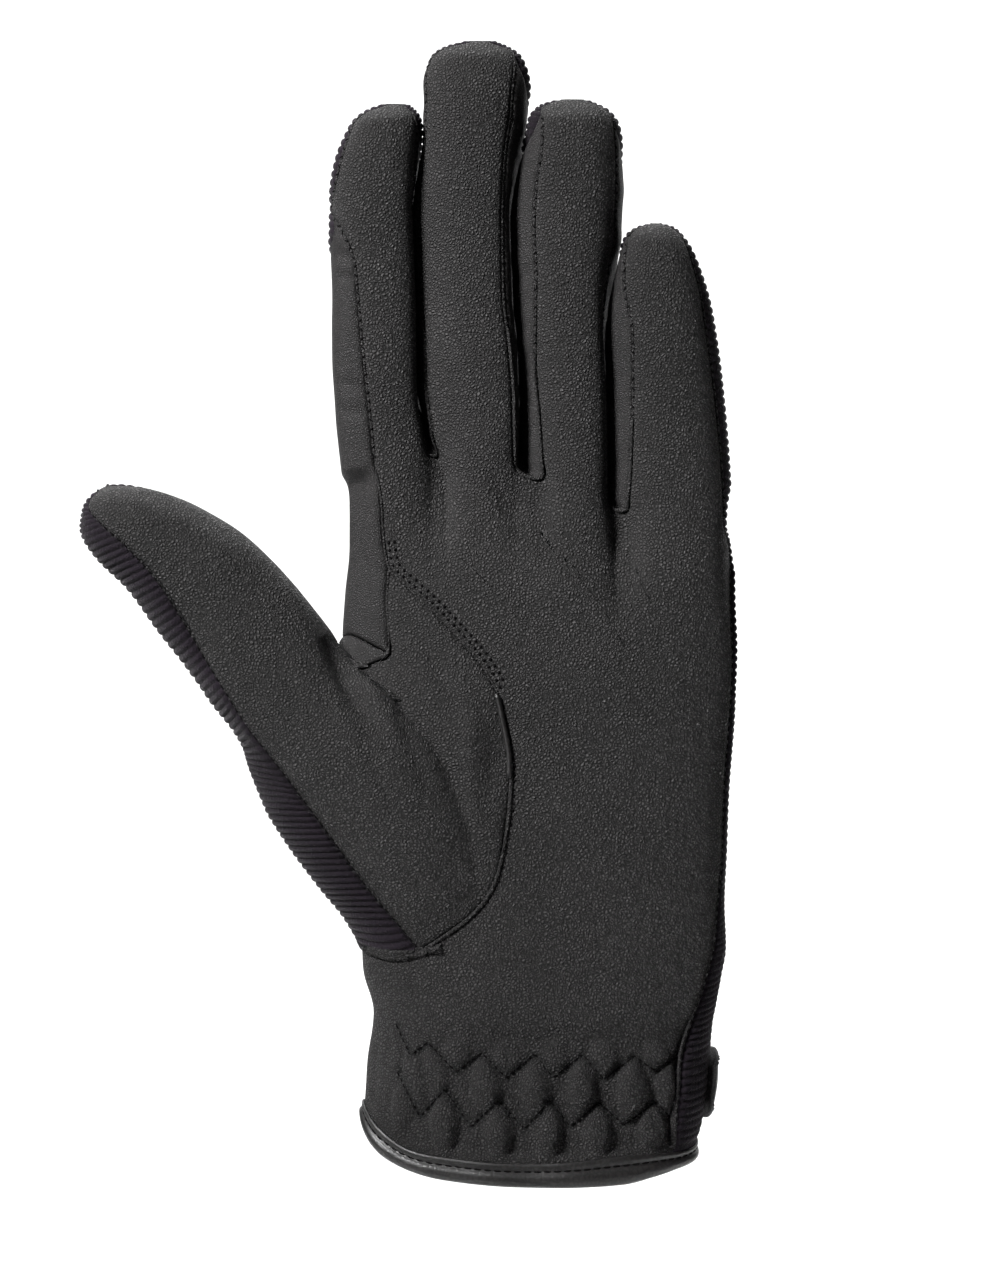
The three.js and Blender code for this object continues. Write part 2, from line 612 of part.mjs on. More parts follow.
// Rows up a finger; on the index finger one of them lies at the top of the side panel.
const fingerSteps = steps(FINGER_ROWS).map((t) => t ** 0.9);
const sideTop = steps(400).findLast((t) => fingerSection(FINGERS[0], t).up <= SIDE_PANEL_TOP);
const nearTop = fingerSteps.findIndex((t) => t > sideTop - 0.5 / FINGER_ROWS);
const stepsOf = (finger) =>
  finger.name === "index" ? fingerSteps.map((t, i) => (i === nearTop ? sideTop : t)) : fingerSteps;
const fingerGrid = (finger, turns, wall) =>
  stepsOf(finger).map((t) => turns(finger, t).map((turn) => onFinger(finger, t, turn, wall)));

// The line of finger bases as the top border of a hand panel.
function topBorder(fingers, turns, face, wall) {
  return fingers.flatMap((finger) =>
    turns(finger, 0).map((turn) => {
      const { point } = onFinger(finger, 0, turn, wall);
      const up = point.z / HAND_LENGTH;
      const isFront = Math.cos(degToRad(turn)) > 0;
      const spot = handTurn(point.x, up, isFront ? 1 : -1);
      return { point, up, turn: face < 0 && spot < 0 ? spot + 360 : spot };
    }),
  );
}

const resample = (rows, count) => {
  const run = runThrough(rows, stopsBy(rows, (row) => [row.turn, row.up * HAND_LENGTH]));
  return steps(count).map((t) => run(t));
};

// The same border with the middles of its longest stretches added, up to a number of points.
function subdivide(spots, count, length, middle) {
  const list = [...spots];
  while (list.length < count) {
    const gaps = list.slice(1).map((spot, i) => length(list[i], spot));
    const i = gaps.indexOf(Math.max(...gaps));
    list.splice(i + 1, 0, middle(list[i], list[i + 1]));
  }
  return list;
}
const spotPoint = ({ turn, up, point }) => point?.clone() ?? onHand(turn, up);
const handGap = (a, b) => spotPoint(a).distanceTo(spotPoint(b));
const handMiddle = (a, b) => ({
  turn: (a.turn + b.turn) / 2,
  up: (a.up + b.up) / 2,
  point: spotPoint(a).lerp(spotPoint(b), 0.5),
});

const palm = new Sheet("palm_panel", LEATHER_WALL, GRAINED_LEATHER);
const palmTop = topBorder(FINGERS, frontTurns, 1, LEATHER_WALL);
const palmLeft = [...PALM_SEAM_LEFT.map((row) => leftOfPalm(handSpot(row))), palmTop[0]];
const palmRight = resample([...PALM_SEAM_RIGHT.map(handSpot), palmTop.at(-1)], palmLeft.length - 1);
palmLeft[0].up = hemRun(palmLeft[0].turn).top;
const hemBorder = (from, to) => (u) => {
  const turn = lerp(from, to, u);
  return { turn, up: hemRun(turn > 180 ? turn - 360 : turn).top };
};
palm.grid(fillHand(hemBorder(palmLeft[0].turn, palmRight[0].turn), palmLeft, palmRight, palmTop));
for (const finger of FINGERS) palm.grid(fingerGrid(finger, frontTurns, LEATHER_WALL));

// Side panel of the index finger: along the finger, then down the edge of the hand to the thumb.
const index = FINGERS[0];
const indexBase = fingerSection(index, 0);
const sidePanel = new Sheet("index_side_panel", LEATHER_WALL, SMOOTH_LEATHER);
sidePanel.grid(
  stepsOf(index).slice(0, nearTop + 1).map((t) => {
    const section = fingerSection(index, t);
    return turnsAcross(-backLeftTurn(index, section, t), -section.frontLeft, SIDE_COLUMNS)
      .map((turn) => onFinger(index, t, turn, LEATHER_WALL));
  }),
);
const sideFront = [
  ...palmLeft.slice(THUMB_PEAK_ROW, -1).reverse(),
  ...SIDE_SEAM_END.map(handSpot),
];
const sideBackEnd = handSpot({ across: THUMB_BASE[0].back[0], up: THUMB_BASE[0].back[1], face: -1 });
const sideBackTop = topBorder([index], (f) => [-backLeftTurn(f, indexBase, 0)], -1, LEATHER_WALL)[0];
const sideBack = sideFront.map((_, r) => ({
  turn: lerp(sideBackTop.turn, sideBackEnd.turn, (r + 1) / sideFront.length),
  up: lerp(sideBackTop.up, sideBackEnd.up, (r + 1) / sideFront.length),
}));
const sideRows = sideFront.map((front, r) =>
  steps(SIDE_COLUMNS).map((share) => {
    const arch = SIDE_PANEL_ARCH * ((r + 1) / sideFront.length) ** 2 * Math.sin(Math.PI * share);
    const turn = lerp(sideBack[r].turn - 360, front.turn, share);
    return { point: onHand(turn, lerp(sideBack[r].up, front.up, share) + arch) };
  }),
);
const sideBaseRow = turnsAcross(-BACK_SEAM_TURN, -indexBase.frontLeft, SIDE_COLUMNS)
  .map((turn) => ({ point: onFinger(index, 0, turn, LEATHER_WALL).point }));
sidePanel.grid([...sideRows.slice().reverse(), sideBaseRow]);

// Strips between neighbouring fingers: down one finger, across the crotch, up the other.
function fourchette(left, right) {
  const sheet = new Sheet(`fourchette_${left.name}_${right.name}`, LEATHER_WALL, SMOOTH_LEATHER);
  const reachOf = (finger) => stepsOf(finger).filter((t) => t < STRIP_END);
  const strip = (finger, t, from, to) =>
    turnsAcross(from, to, SIDE_COLUMNS).map((turn) => onFinger(finger, t, turn, LEATHER_WALL));
  const down = reachOf(left).reverse().map((t) => {
    const section = fingerSection(left, t);
    return strip(left, t, section.frontRight, backRightTurn(left, section, t));
  });
  const rise = reachOf(right).map((t) => {
    const section = fingerSection(right, t);
    return strip(right, t, -section.frontLeft, -backLeftTurn(right, section, t));
  });
  return sheet.grid([...down, ...rise].reverse());
}
const fourchettes = FINGERS.slice(1).map((finger, i) => fourchette(FINGERS[i], finger));

// The thumb's own sections, square to its length.
const thumbMiddle = (row) => [0, 1].map((k) => (row.left[k] + row.right[k]) / 2);
const thumbRun = runThrough(
  THUMB_ROWS,
  stopsBy(THUMB_ROWS, (row) => [...row.left, ...row.right].map((v, k) => v * (k % 2 ? HAND_LENGTH : HAND_WIDTH))),
);

function onThumb(t, turn, wall) {
  const row = thumbRun(t);
  const [across, up] = thumbMiddle(row);
  const centre = new THREE.Vector3(across * HAND_WIDTH, -THUMB_FORWARD, up * HAND_LENGTH);
  const edge = new THREE.Vector3(row.right[0] * HAND_WIDTH, -THUMB_FORWARD, row.right[1] * HAND_LENGTH).sub(centre);
  const half = edge.length();
  const depth = (row.depth * THUMB_DEPTH) / 2;
  const toTip = new THREE.Vector3(-edge.z, 0, edge.x).normalize();
  const place = (reach, deep) =>
    centre.clone()
      .addScaledVector(edge, (reach / half) * spread(Math.sin(degToRad(turn))))
      .add(new THREE.Vector3(0, -deep * spread(Math.cos(degToRad(turn))), 0));
  const shorter = (v) => Math.max(v - wall, v * TIP_WALL_SHARE);
  const lining = place(shorter(half), shorter(depth));
  lining.addScaledVector(toTip, -wall * ease((0.75 - row.depth) / 0.5));
  return { point: place(half, depth), lining, hold: ease((t - 0.08) / 0.3) };
}

function thumbSeamTurn(t) {
  const row = thumbRun(t);
  const centre = thumbMiddle(row);
  const scale = [HAND_WIDTH, HAND_LENGTH];
  const edge = centre.map((v, k) => (v - row.left[k]) * scale[k]);
  const seam = centre.map((v, k) => (v - row.seam[k]) * scale[k]);
  return turnOf((edge[0] * seam[0] + edge[1] * seam[1]) / (edge[0] ** 2 + edge[1] ** 2));
}

// The back of the thumb meets its front on the edge at the crotch and behind the edge further up.
const thumbBackTurn = (t) => lerp(90, THUMB_SEAM_TURN, ease(t / 0.2));
const thumbSteps = steps(THUMB_FREE_ROWS);
const thumbFront = new Sheet("thumb_front", LEATHER_WALL, GRAINED_LEATHER);
thumbFront.grid(
  thumbSteps.map((t) =>
    turnsAcross(-thumbSeamTurn(t), thumbBackTurn(t), THUMB_FRONT_COLUMNS).map((turn) => onThumb(t, turn, LEATHER_WALL)),
  ),
);

const at = ([across, up], y) => new THREE.Vector3(across * HAND_WIDTH, y, up * HAND_LENGTH);
const thumbCrotch = turnsAcross(-thumbSeamTurn(0), thumbBackTurn(0), THUMB_FRONT_COLUMNS)
  .map((turn) => onThumb(0, turn, LEATHER_WALL).point);
const bottomCorner = spotPoint(palmLeft[THUMB_BOTTOM_ROW]);
const ribSeam = [
  thumbCrotch[0],
  ...THUMB_BASE.map(({ seam }, k) => at(seam, lerp(thumbCrotch[0].y, bottomCorner.y, (k + 1) / 6))),
  bottomCorner,
];
const sideSeamPoints = sideFront.map(spotPoint);
const quirk = at(THUMB_QUIRK, lerp(thumbCrotch.at(-1).y, sideSeamPoints.at(-1).y, 0.6));
const crotchCorner = thumbCrotch.at(-1);
const leafTop = [
  ...thumbCrotch,
  quirk,
  ...sideSeamPoints.slice(-4).reverse(),
];
const leafRight = palmLeft.slice(THUMB_SIDE_ROW, THUMB_PEAK_ROW + 1).reverse().map(spotPoint);
const leafBottomRaw = palmLeft.slice(THUMB_BOTTOM_ROW, THUMB_SIDE_ROW + 1).map(spotPoint);

// Points along a run of points, evenly by length.
function along(points, count) {
  const rows = points.map((p) => ({ x: p.x, y: p.y, z: p.z }));
  const stops = stopsBy(points, (p) => p.toArray());
  return steps(count).map((t) => {
    let i = 0;
    while (i < rows.length - 2 && stops[i + 1] < t) i += 1;
    return points[i].clone().lerp(points[i + 1], (t - stops[i]) / (stops[i + 1] - stops[i]));
  });
}

// Points between four borders; top and bottom run the same way, as do left and right.
function fill(top, bottom, left, right, swell) {
  const columns = top.length - 1;
  const count = left.length - 1;
  return left.map((start, r) => {
    const v = r / count;
    return top.map((cap, j) => {
      const u = j / columns;
      if (r === 0) return { point: cap };
      if (r === count) return { point: bottom[j] };
      const point = new THREE.Vector3()
        .addScaledVector(cap, 1 - v).addScaledVector(bottom[j], v)
        .addScaledVector(start, 1 - u).addScaledVector(right[r], u)
        .addScaledVector(top[0], -(1 - u) * (1 - v)).addScaledVector(top.at(-1), -u * (1 - v))
        .addScaledVector(bottom[0], -(1 - u) * v).addScaledVector(bottom.at(-1), -u * v);
      point.y -= swell * Math.sin(Math.PI * u) * Math.sin(Math.PI * v);
      return { point };
    });
  });
}
const leafLeft = along(ribSeam, leafRight.length - 1);
const leafRows = fill(leafTop, along(leafBottomRaw, leafTop.length - 1), leafLeft, leafRight, THENAR_SWELL);
thumbFront.grid(leafRows.reverse());


// Back of the thumb: its free part, then arcs from the back seam round the outer edge to the rib seam.
const thumbBack = new Sheet("thumb_back", CLOTH_WALL, RIBBED_CLOTH);
const thumbBackTurns = (t) => turnsAcross(thumbBackTurn(t), 360 - thumbSeamTurn(t), THUMB_BACK_COLUMNS);
thumbBack.grid(thumbSteps.map((t) => thumbBackTurns(t).map((turn) => onThumb(t, turn, CLOTH_WALL))));
const baseTurns = thumbBackTurns(0);
const handBack = ([across, up]) => spotPoint(handSpot({ across, up, face: -1 }));
const ridgeAtCrotch = (270 - baseTurns[0]) / (baseTurns.at(-1) - baseTurns[0]);
const baseRows = THUMB_BASE.map(({ side, back }, k) => {
  const rib = ribSeam[k + 1];
  const root = handBack(back);
  const edge = at(side, lerp(-THUMB_FORWARD, 0, (k + 1) / (THUMB_BASE.length + 1)));
  const ridge = lerp(ridgeAtCrotch, RIDGE_AT_FOOT, (k + 1) / (THUMB_BASE.length + 1));
  return steps(THUMB_BACK_COLUMNS).map((u) => {
    const end = u <= ridge ? root : rib;
    const swing = (Math.PI / 2) * (u <= ridge ? u / ridge : (1 - u) / (1 - ridge));
    const point = end.clone().lerp(edge, Math.sin(swing));
    point.y = lerp(edge.y, end.y, Math.cos(swing));
    return { point };
  });
});
const thumbFoot = subdivide(
  palmLeft.slice(WRIST_SEAM_ROWS - 1, THUMB_BOTTOM_ROW + 1).map(spotPoint),
  THUMB_BACK_COLUMNS + 1,
  (a, b) => a.distanceTo(b),
  (a, b) => a.clone().lerp(b, 0.5),
);
const crotchRow = baseTurns.map((turn) => ({ point: onThumb(0, turn, CLOTH_WALL).point }));
const footLift = (i) => (i < THUMB_BACK_COLUMNS ? 2 * SEAM_GAP : 0);
const thumbFootRow = thumbFoot.map((point, i) => ({ point: point.setZ(point.z + footLift(i)) }));
thumbBack.grid([thumbFootRow, ...baseRows.reverse(), crotchRow]);

// Quirk in the crotch of the thumb, under the end of the index side panel.
const gusset = new Sheet("thumb_gusset", QUIRK_WALL, GRAINED_LEATHER);
const quirkTop = sideRows.at(-1);
const quirkCorner = crotchCorner.clone().setZ(crotchCorner.z + SEAM_GAP);
const quirkFoot = [quirkTop[0].point, quirkCorner, quirkCorner.clone().lerp(quirk, 0.5), quirk, quirkTop.at(-1).point];
gusset.grid([quirkFoot.map((point) => ({ point })), quirkTop]);

const back = new Sheet("back_panel", CLOTH_WALL, RIBBED_CLOTH);
const backTop = topBorder(FINGERS.slice().reverse(), backTurns, -1, CLOTH_WALL);
const backSeams = [
  ...palmLeft.slice(0, WRIST_SEAM_ROWS).map(({ turn, up }) => ({ turn: turn + 360, up })),
  ...THUMB_BASE.slice(1).reverse().map((row) => handSpot({ across: row.back[0], up: row.back[1], face: -1 })),
  ...sideBack.slice().reverse(),
  backTop.at(-1),
];
const backLeft = subdivide(backSeams, palmRight.length, handGap, handMiddle);
const backRight = [...palmRight.slice(0, -1), backTop[0]];
back.grid(fillHand(hemBorder(backRight[0].turn, backLeft[0].turn), backRight, backLeft, backTop));
for (const finger of FINGERS) back.grid(fingerGrid(finger, backTurns, CLOTH_WALL));

// Outward direction of the wrist at a turn.
function wristNormal(turn, up) {
  const step = 0.5;
  const ahead = onHand(turn + step, up).sub(onHand(turn - step, up));
  return new THREE.Vector3(ahead.y, -ahead.x, 0).normalize();
}

function hemBinding() {
  const ring = steps(BINDING_COLUMNS).slice(0, -1).flatMap((share) => {
    const turn = share * 360 - 180;
    const { top, foot } = hemRun(turn);
    const high = top - SEAM_GAP / HAND_LENGTH;
    const lip = BINDING_LIP / HAND_LENGTH;
    const outline = [
      [-BINDING_INSIDE, high],
      [BINDING_PROUD - BINDING_LIP / 2, high],
      [BINDING_PROUD, high - lip],
      [BINDING_PROUD, foot + lip],
      [0, foot],
      [-BINDING_INSIDE, foot + lip],
    ];
    return outline.map(([out, up]) => onHand(turn, up).addScaledVector(wristNormal(turn, up), out));
  });
  const sides = 6;
  const index = [];
  for (let i = 0; i < BINDING_COLUMNS; i += 1) {
    const next = (i + 1) % BINDING_COLUMNS;
    for (let k = 0; k < sides; k += 1) {
      const [a, b] = [i * sides + k, i * sides + ((k + 1) % sides)];
      const [c, d] = [next * sides + ((k + 1) % sides), next * sides + k];
      index.push(a, b, c, a, c, d);
    }
  }
  const geometry = new THREE.BufferGeometry();
  geometry.setAttribute("position", new THREE.Float32BufferAttribute(ring.flatMap((p) => p.toArray()), 3));
  geometry.setIndex(index);
  return meshOf("hem_binding", geometry, PIPING_LEATHER);
}

// Strap across the back of the wrist, its end standing out past the little-finger edge.
function closureTab() {
  const sheet = new Sheet("closure_tab", TAB_THICKNESS, SMOOTH_LEATHER);
  const middle = (TAB_FOOT + TAB_TOP) / 2;
  const rows = steps(4).map((v) =>
    steps(TAB_COLUMNS).map((u) => {
      const round = Math.sqrt(1 - Math.max(0, 1 - Math.min(u, 1 - u) * 5) ** 2 * 0.75);
      const up = middle + (v - 0.5) * (TAB_TOP - TAB_FOOT) * round;
      const turn = lerp(TAB_START_TURN, TAB_END_TURN, u);
      return { point: onHand(turn, up).addScaledVector(wristNormal(turn, up), TAB_LIFT + TAB_THICKNESS) };
    }),
  );
  sheet.grid(rows);
  sheet.measure();
  return sheet.solid();
}

const sheets = [palm, back, sidePanel, ...fourchettes, thumbFront, thumbBack, gusset];
sheets.forEach((sheet) => sheet.measure());
matchRims(sheets);
const glove = new THREE.Group();
glove.name = "riding_glove";
glove.add(...sheets.map((sheet) => sheet.solid()), hemBinding(), closureTab());
export default glove;
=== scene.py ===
"""Horse riding glove: the visual model of the left glove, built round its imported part."""
import math

import bpy
import numpy as np
from bpy.props import FloatProperty, FloatVectorProperty, PointerProperty
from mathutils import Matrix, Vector
from mathutils.bvhtree import BVHTree
from mathutils.kdtree import KDTree


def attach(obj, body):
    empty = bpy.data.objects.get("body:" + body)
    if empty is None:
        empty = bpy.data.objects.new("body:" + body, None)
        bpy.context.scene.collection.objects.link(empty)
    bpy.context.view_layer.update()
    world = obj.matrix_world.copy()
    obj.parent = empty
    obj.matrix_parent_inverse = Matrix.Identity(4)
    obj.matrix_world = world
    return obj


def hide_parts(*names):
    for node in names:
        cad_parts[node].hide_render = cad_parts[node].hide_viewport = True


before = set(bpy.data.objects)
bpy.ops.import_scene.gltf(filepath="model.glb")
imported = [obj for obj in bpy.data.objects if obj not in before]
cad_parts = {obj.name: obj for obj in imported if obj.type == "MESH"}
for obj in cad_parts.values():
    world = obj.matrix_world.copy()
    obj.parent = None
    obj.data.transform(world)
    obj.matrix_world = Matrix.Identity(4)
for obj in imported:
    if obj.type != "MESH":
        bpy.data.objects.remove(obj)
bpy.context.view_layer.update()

bl_info = {
    "name": "Riding glove",
    "version": (1, 0, 0),
    "blender": (4, 5, 0),
    "location": "View3D > Sidebar > Glove",
    "description": "Builds a leather and ribbed cloth riding glove with its seams, gathers and stage",
    "category": "Add Mesh",
}

# Shape rules shared with the part: lengths are shares of the hand's width (across) and length (up).
SECTION_POWER = 2.4
BACK_SEAM_SHARE = 0.88
THUMB_SEAM_TURN = 104
FINGER_NEST = 0.1
TIP_CAPS = (0.35, 0.7, 1.0)
CAP_DRAW_IN = 0.25
BORDER_FADE = 4
STRIP_TAPER = 0.68
STRIP_END = 0.94
SIDE_PANEL_TOP = 0.859
SIDE_PANEL_TAPER = 0.06
SIDE_PANEL_ARCH = 0.02
RIDGE_AT_FOOT = 0.4
HEM_TUCK = 0.5

# Sizes in millimetres of what the part leaves out: how the slots between the fingers close half way in.
CAP_RISE = 0.5
SLOT_LEAN = 3.0
SLOT_WEB = 7.0
SLOT_REACH = 6.5
SLOT_CLEARANCE = 0.15
SLOT_SWELL = 1.6
EDGE_THINNING = 0.7
SMOOTHING = 0.6
HEM_RUN_OUT = 3.5

# Each finger from crotch to tip: up, left, right, left seam, right seam, share of the finger's depth.
FINGER_TABLES = {
    "index": ((0.617, 0.643), [
        (0.643, -0.497, -0.245, -0.399, -0.26, 1), (0.687, -0.51, -0.268, -0.412, -0.276, 1),
        (0.74, -0.521, -0.271, -0.43, -0.278, 1), (0.784, -0.521, -0.273, -0.443, -0.281, 1),
        (0.815, -0.523, -0.276, -0.454, -0.284, 0.99), (0.838, -0.526, -0.278, -0.482, -0.286, 0.98),
        (0.859, -0.523, -0.281, -0.519, -0.289, 0.97), (0.881, -0.521, -0.281, -0.508, -0.289, 0.95),
        (0.903, -0.508, -0.284, -0.49, -0.291, 0.9), (0.92, -0.485, -0.286, -0.474, -0.294, 0.8),
        (0.932, -0.464, -0.294, -0.459, -0.302, 0.66), (0.939, -0.436, -0.307, -0.433, -0.312, 0.45),
        (0.945, -0.389, -0.327, -0.387, -0.33, 0.16),
    ]),
    "middle": ((0.643, 0.627), [
        (0.635, -0.229, -0.01, -0.222, -0.039, 1), (0.67, -0.235, -0.005, -0.227, -0.041, 1),
        (0.705, -0.242, -0.008, -0.235, -0.044, 1), (0.74, -0.255, -0.013, -0.247, -0.054, 1),
        (0.775, -0.265, -0.021, -0.258, -0.067, 1), (0.819, -0.273, -0.026, -0.265, -0.07, 1),
        (0.863, -0.278, -0.026, -0.271, -0.07, 0.99), (0.907, -0.278, -0.023, -0.271, -0.064, 0.97),
        (0.938, -0.284, -0.021, -0.276, -0.054, 0.93), (0.96, -0.286, -0.015, -0.278, -0.049, 0.86),
        (0.975, -0.281, -0.021, -0.276, -0.046, 0.74), (0.988, -0.263, -0.041, -0.26, -0.049, 0.54),
        (0.995, -0.229, -0.072, -0.227, -0.075, 0.33), (1, -0.175, -0.108, -0.173, -0.111, 0.13),
    ]),
    "ring": ((0.627, 0.595), [
        (0.611, 0.008, 0.219, 0.036, 0.211, 1), (0.652, 0, 0.219, 0.026, 0.211, 1),
        (0.705, -0.005, 0.219, 0.015, 0.211, 1), (0.749, -0.013, 0.216, 0.013, 0.209, 1),
        (0.793, -0.021, 0.214, 0.013, 0.204, 1), (0.837, -0.021, 0.22, 0.01, 0.211, 0.99),
        (0.872, -0.02, 0.227, 0.015, 0.216, 0.97), (0.903, -0.017, 0.222, 0.026, 0.214, 0.92),
        (0.919, -0.014, 0.219, 0.028, 0.211, 0.84), (0.932, -0.01, 0.209, 0.026, 0.204, 0.7),
        (0.941, 0.005, 0.186, 0.023, 0.183, 0.47), (0.946, 0.026, 0.157, 0.034, 0.155, 0.27),
        (0.949, 0.054, 0.137, 0.057, 0.134, 0.13),
    ]),
    "little": ((0.595, 0.575), [
        (0.589, 0.229, 0.505, 0.255, 0.495, 1), (0.626, 0.226, 0.5, 0.26, 0.49, 1),
        (0.67, 0.226, 0.49, 0.263, 0.479, 1), (0.714, 0.226, 0.477, 0.263, 0.464, 1),
        (0.749, 0.223, 0.461, 0.26, 0.448, 0.99), (0.78, 0.221, 0.443, 0.242, 0.433, 0.96),
        (0.803, 0.222, 0.423, 0.238, 0.415, 0.9), (0.819, 0.227, 0.405, 0.24, 0.399, 0.8),
        (0.831, 0.24, 0.381, 0.247, 0.379, 0.6), (0.838, 0.263, 0.358, 0.265, 0.356, 0.35),
        (0.841, 0.289, 0.332, 0.291, 0.33, 0.13),
    ]),
}

# The hand and cuff from the hem up: up, left, right, share of the palm's depth.
HAND_ROWS = [
    (0, -0.407, 0.399, 1.24), (0.029, -0.436, 0.41, 1.24), (0.055, -0.441, 0.425, 1.23),
    (0.086, -0.436, 0.441, 1.21), (0.114, -0.43, 0.446, 1.19), (0.141, -0.418, 0.454, 1.15),
    (0.157, -0.418, 0.464, 1.12), (0.183, -0.441, 0.479, 1.09), (0.205, -0.446, 0.49, 1.08),
    (0.248, -0.459, 0.485, 1.06), (0.292, -0.466, 0.492, 1.05), (0.354, -0.472, 0.5, 1.05),
    (0.424, -0.477, 0.518, 1.03), (0.468, -0.497, 0.521, 1), (0.512, -0.49, 0.515, 0.96),
    (0.556, -0.479, 0.515, 0.9), (0.6, -0.479, 0.508, 0.84), (0.635, -0.495, 0.504, 0.8),
    (0.661, -0.505, 0.5, 0.78),
]

# Seam of the palm on the thumb side: across, up, face (1 palm, -1 back, 0 on the edge between them).
PALM_SEAM_LEFT = [
    (-0.387, 0.073, -1), (-0.387, 0.12, -1), (-0.387, 0.165, -1), (-0.387, 0.217, -1),
    (-0.446, 0.21, 0), (-0.405, 0.201, 1), (-0.348, 0.198, 1), (-0.294, 0.205, 1),
    (-0.201, 0.226, 1), (-0.142, 0.244, 1), (-0.106, 0.263, 1), (-0.085, 0.288, 1),
    (-0.067, 0.326, 1), (-0.062, 0.356, 1), (-0.064, 0.379, 1), (-0.082, 0.411, 1),
    (-0.101, 0.434, 1), (-0.157, 0.464, 1), (-0.253, 0.5, 1), (-0.322, 0.522, 1),
    (-0.376, 0.541, 1), (-0.389, 0.565, 1), (-0.394, 0.595, 1),
]
WRIST_SEAM_ROW = 3
THUMB_BOTTOM_ROW = 7
THUMB_SIDE_ROW = 11
THUMB_PEAK_ROW = 20

# Seam of the palm on the little-finger side, from the hem up: across, up.
PALM_SEAM_RIGHT = [
    (0.358, 0.027), (0.366, 0.074), (0.374, 0.114), (0.397, 0.141), (0.415, 0.157),
    (0.433, 0.174), (0.454, 0.2), (0.466, 0.231), (0.477, 0.266), (0.484, 0.319),
    (0.491, 0.371), (0.503, 0.424), (0.508, 0.468), (0.503, 0.512), (0.503, 0.556),
]
SIDE_SEAM_END = [(-0.381, 0.512), (-0.376, 0.486), (-0.371, 0.464)]

# The free thumb from its crotch to its tip: across and up of both edges and of the rib seam, depth.
THUMB_ROWS = [
    (-0.781, 0.387, -0.505, 0.476, -0.698, 0.387, 1.12),
    (-0.835, 0.415, -0.559, 0.501, -0.753, 0.416, 1.06),
    (-0.889, 0.45, -0.611, 0.524, -0.82, 0.45, 1.02),
    (-0.969, 0.486, -0.675, 0.547, -0.889, 0.487, 1),
    (-1.046, 0.521, -0.747, 0.568, -0.966, 0.525, 1),
    (-1.121, 0.547, -0.825, 0.586, -1.034, 0.55, 0.92),
    (-1.162, 0.569, -0.902, 0.599, -1.101, 0.574, 0.82),
    (-1.162, 0.586, -0.987, 0.609, -1.137, 0.587, 0.65),
    (-1.152, 0.597, -1.049, 0.613, -1.144, 0.597, 0.45),
    (-1.129, 0.606, -1.09, 0.613, -1.126, 0.607, 0.16),
]

# The thumb's base below its crotch: across and up of rib seam, outer edge and back seam.
THUMB_BASE = [
    (-0.642, 0.36, -0.753, 0.367, -0.472, 0.459),
    (-0.57, 0.327, -0.693, 0.329, -0.369, 0.414),
    (-0.497, 0.293, -0.626, 0.293, -0.322, 0.358),
    (-0.43, 0.261, -0.557, 0.261, -0.317, 0.306),
    (-0.361, 0.233, -0.492, 0.234, -0.34, 0.257),
]
THUMB_QUIRK = (-0.459, 0.45)

# The hem: turn round the wrist (0 palm, 90 little finger), top and foot of the binding.
HEM_ROWS = [
    (-180, 0.048, 0.036), (-135, 0.057, 0.045), (-110, 0.068, 0.056), (-90, 0.072, 0.059),
    (-75, 0.062, 0.042), (-60, 0.047, 0.025), (-45, 0.032, 0.013), (-30, 0.025, 0.006),
    (0, 0.019, 0), (30, 0.025, 0.002), (45, 0.027, 0.008), (60, 0.028, 0.014),
    (75, 0.031, 0.018), (90, 0.036, 0.022), (110, 0.042, 0.029), (135, 0.046, 0.034),
    (180, 0.048, 0.036),
]

# Elastic at the cuff: the corners of its two zigzag stitch rows, and the puffs between them.
ZIGZAGS = [
    [(-0.358, 0.142), (-0.32, 0.114), (-0.276, 0.126), (-0.204, 0.101), (-0.137, 0.117),
     (-0.075, 0.096), (-0.003, 0.116), (0.046, 0.096), (0.121, 0.116), (0.175, 0.094),
     (0.253, 0.114), (0.312, 0.1), (0.362, 0.112)],
    [(-0.356, 0.101), (-0.296, 0.061), (-0.232, 0.085), (-0.165, 0.053), (-0.095, 0.076),
     (-0.028, 0.051), (0.036, 0.076), (0.09, 0.053), (0.162, 0.074), (0.227, 0.054),
     (0.309, 0.074), (0.349, 0.059)],
]
# Puffs of the gathers: across and up of the top, across and up of the foot, half width, height.
PUFFS = [
    (-0.318, 0.122, -0.308, 0.068, 0.036, 0.9),
    (-0.27, 0.122, -0.25, 0.078, 0.034, 0.8),
    (-0.135, 0.114, -0.118, 0.06, 0.038, 1.4),
    (-0.002, 0.113, 0.004, 0.058, 0.036, 1.5),
    (0.12, 0.113, 0.12, 0.058, 0.036, 1.5),
    (0.252, 0.111, 0.248, 0.056, 0.042, 1.4),
    (0.345, 0.108, 0.34, 0.06, 0.03, 0.9),
    (-0.345, 0.09, -0.35, 0.048, 0.03, 0.8),
    (-0.234, 0.083, -0.238, 0.03, 0.037, 1.4),
    (-0.097, 0.074, -0.095, 0.024, 0.037, 1.5),
    (0.036, 0.074, 0.03, 0.023, 0.036, 1.5),
    (0.16, 0.072, 0.158, 0.024, 0.036, 1.5),
    (0.3, 0.072, 0.298, 0.028, 0.037, 1.4),
    (-0.2, 0.132, -0.203, 0.1, 0.04, 0.7),
    (-0.075, 0.13, -0.075, 0.096, 0.036, 0.7),
    (0.048, 0.13, 0.048, 0.096, 0.036, 0.7),
    (0.175, 0.13, 0.175, 0.094, 0.036, 0.7),
    (0.312, 0.128, 0.312, 0.1, 0.036, 0.6),
]

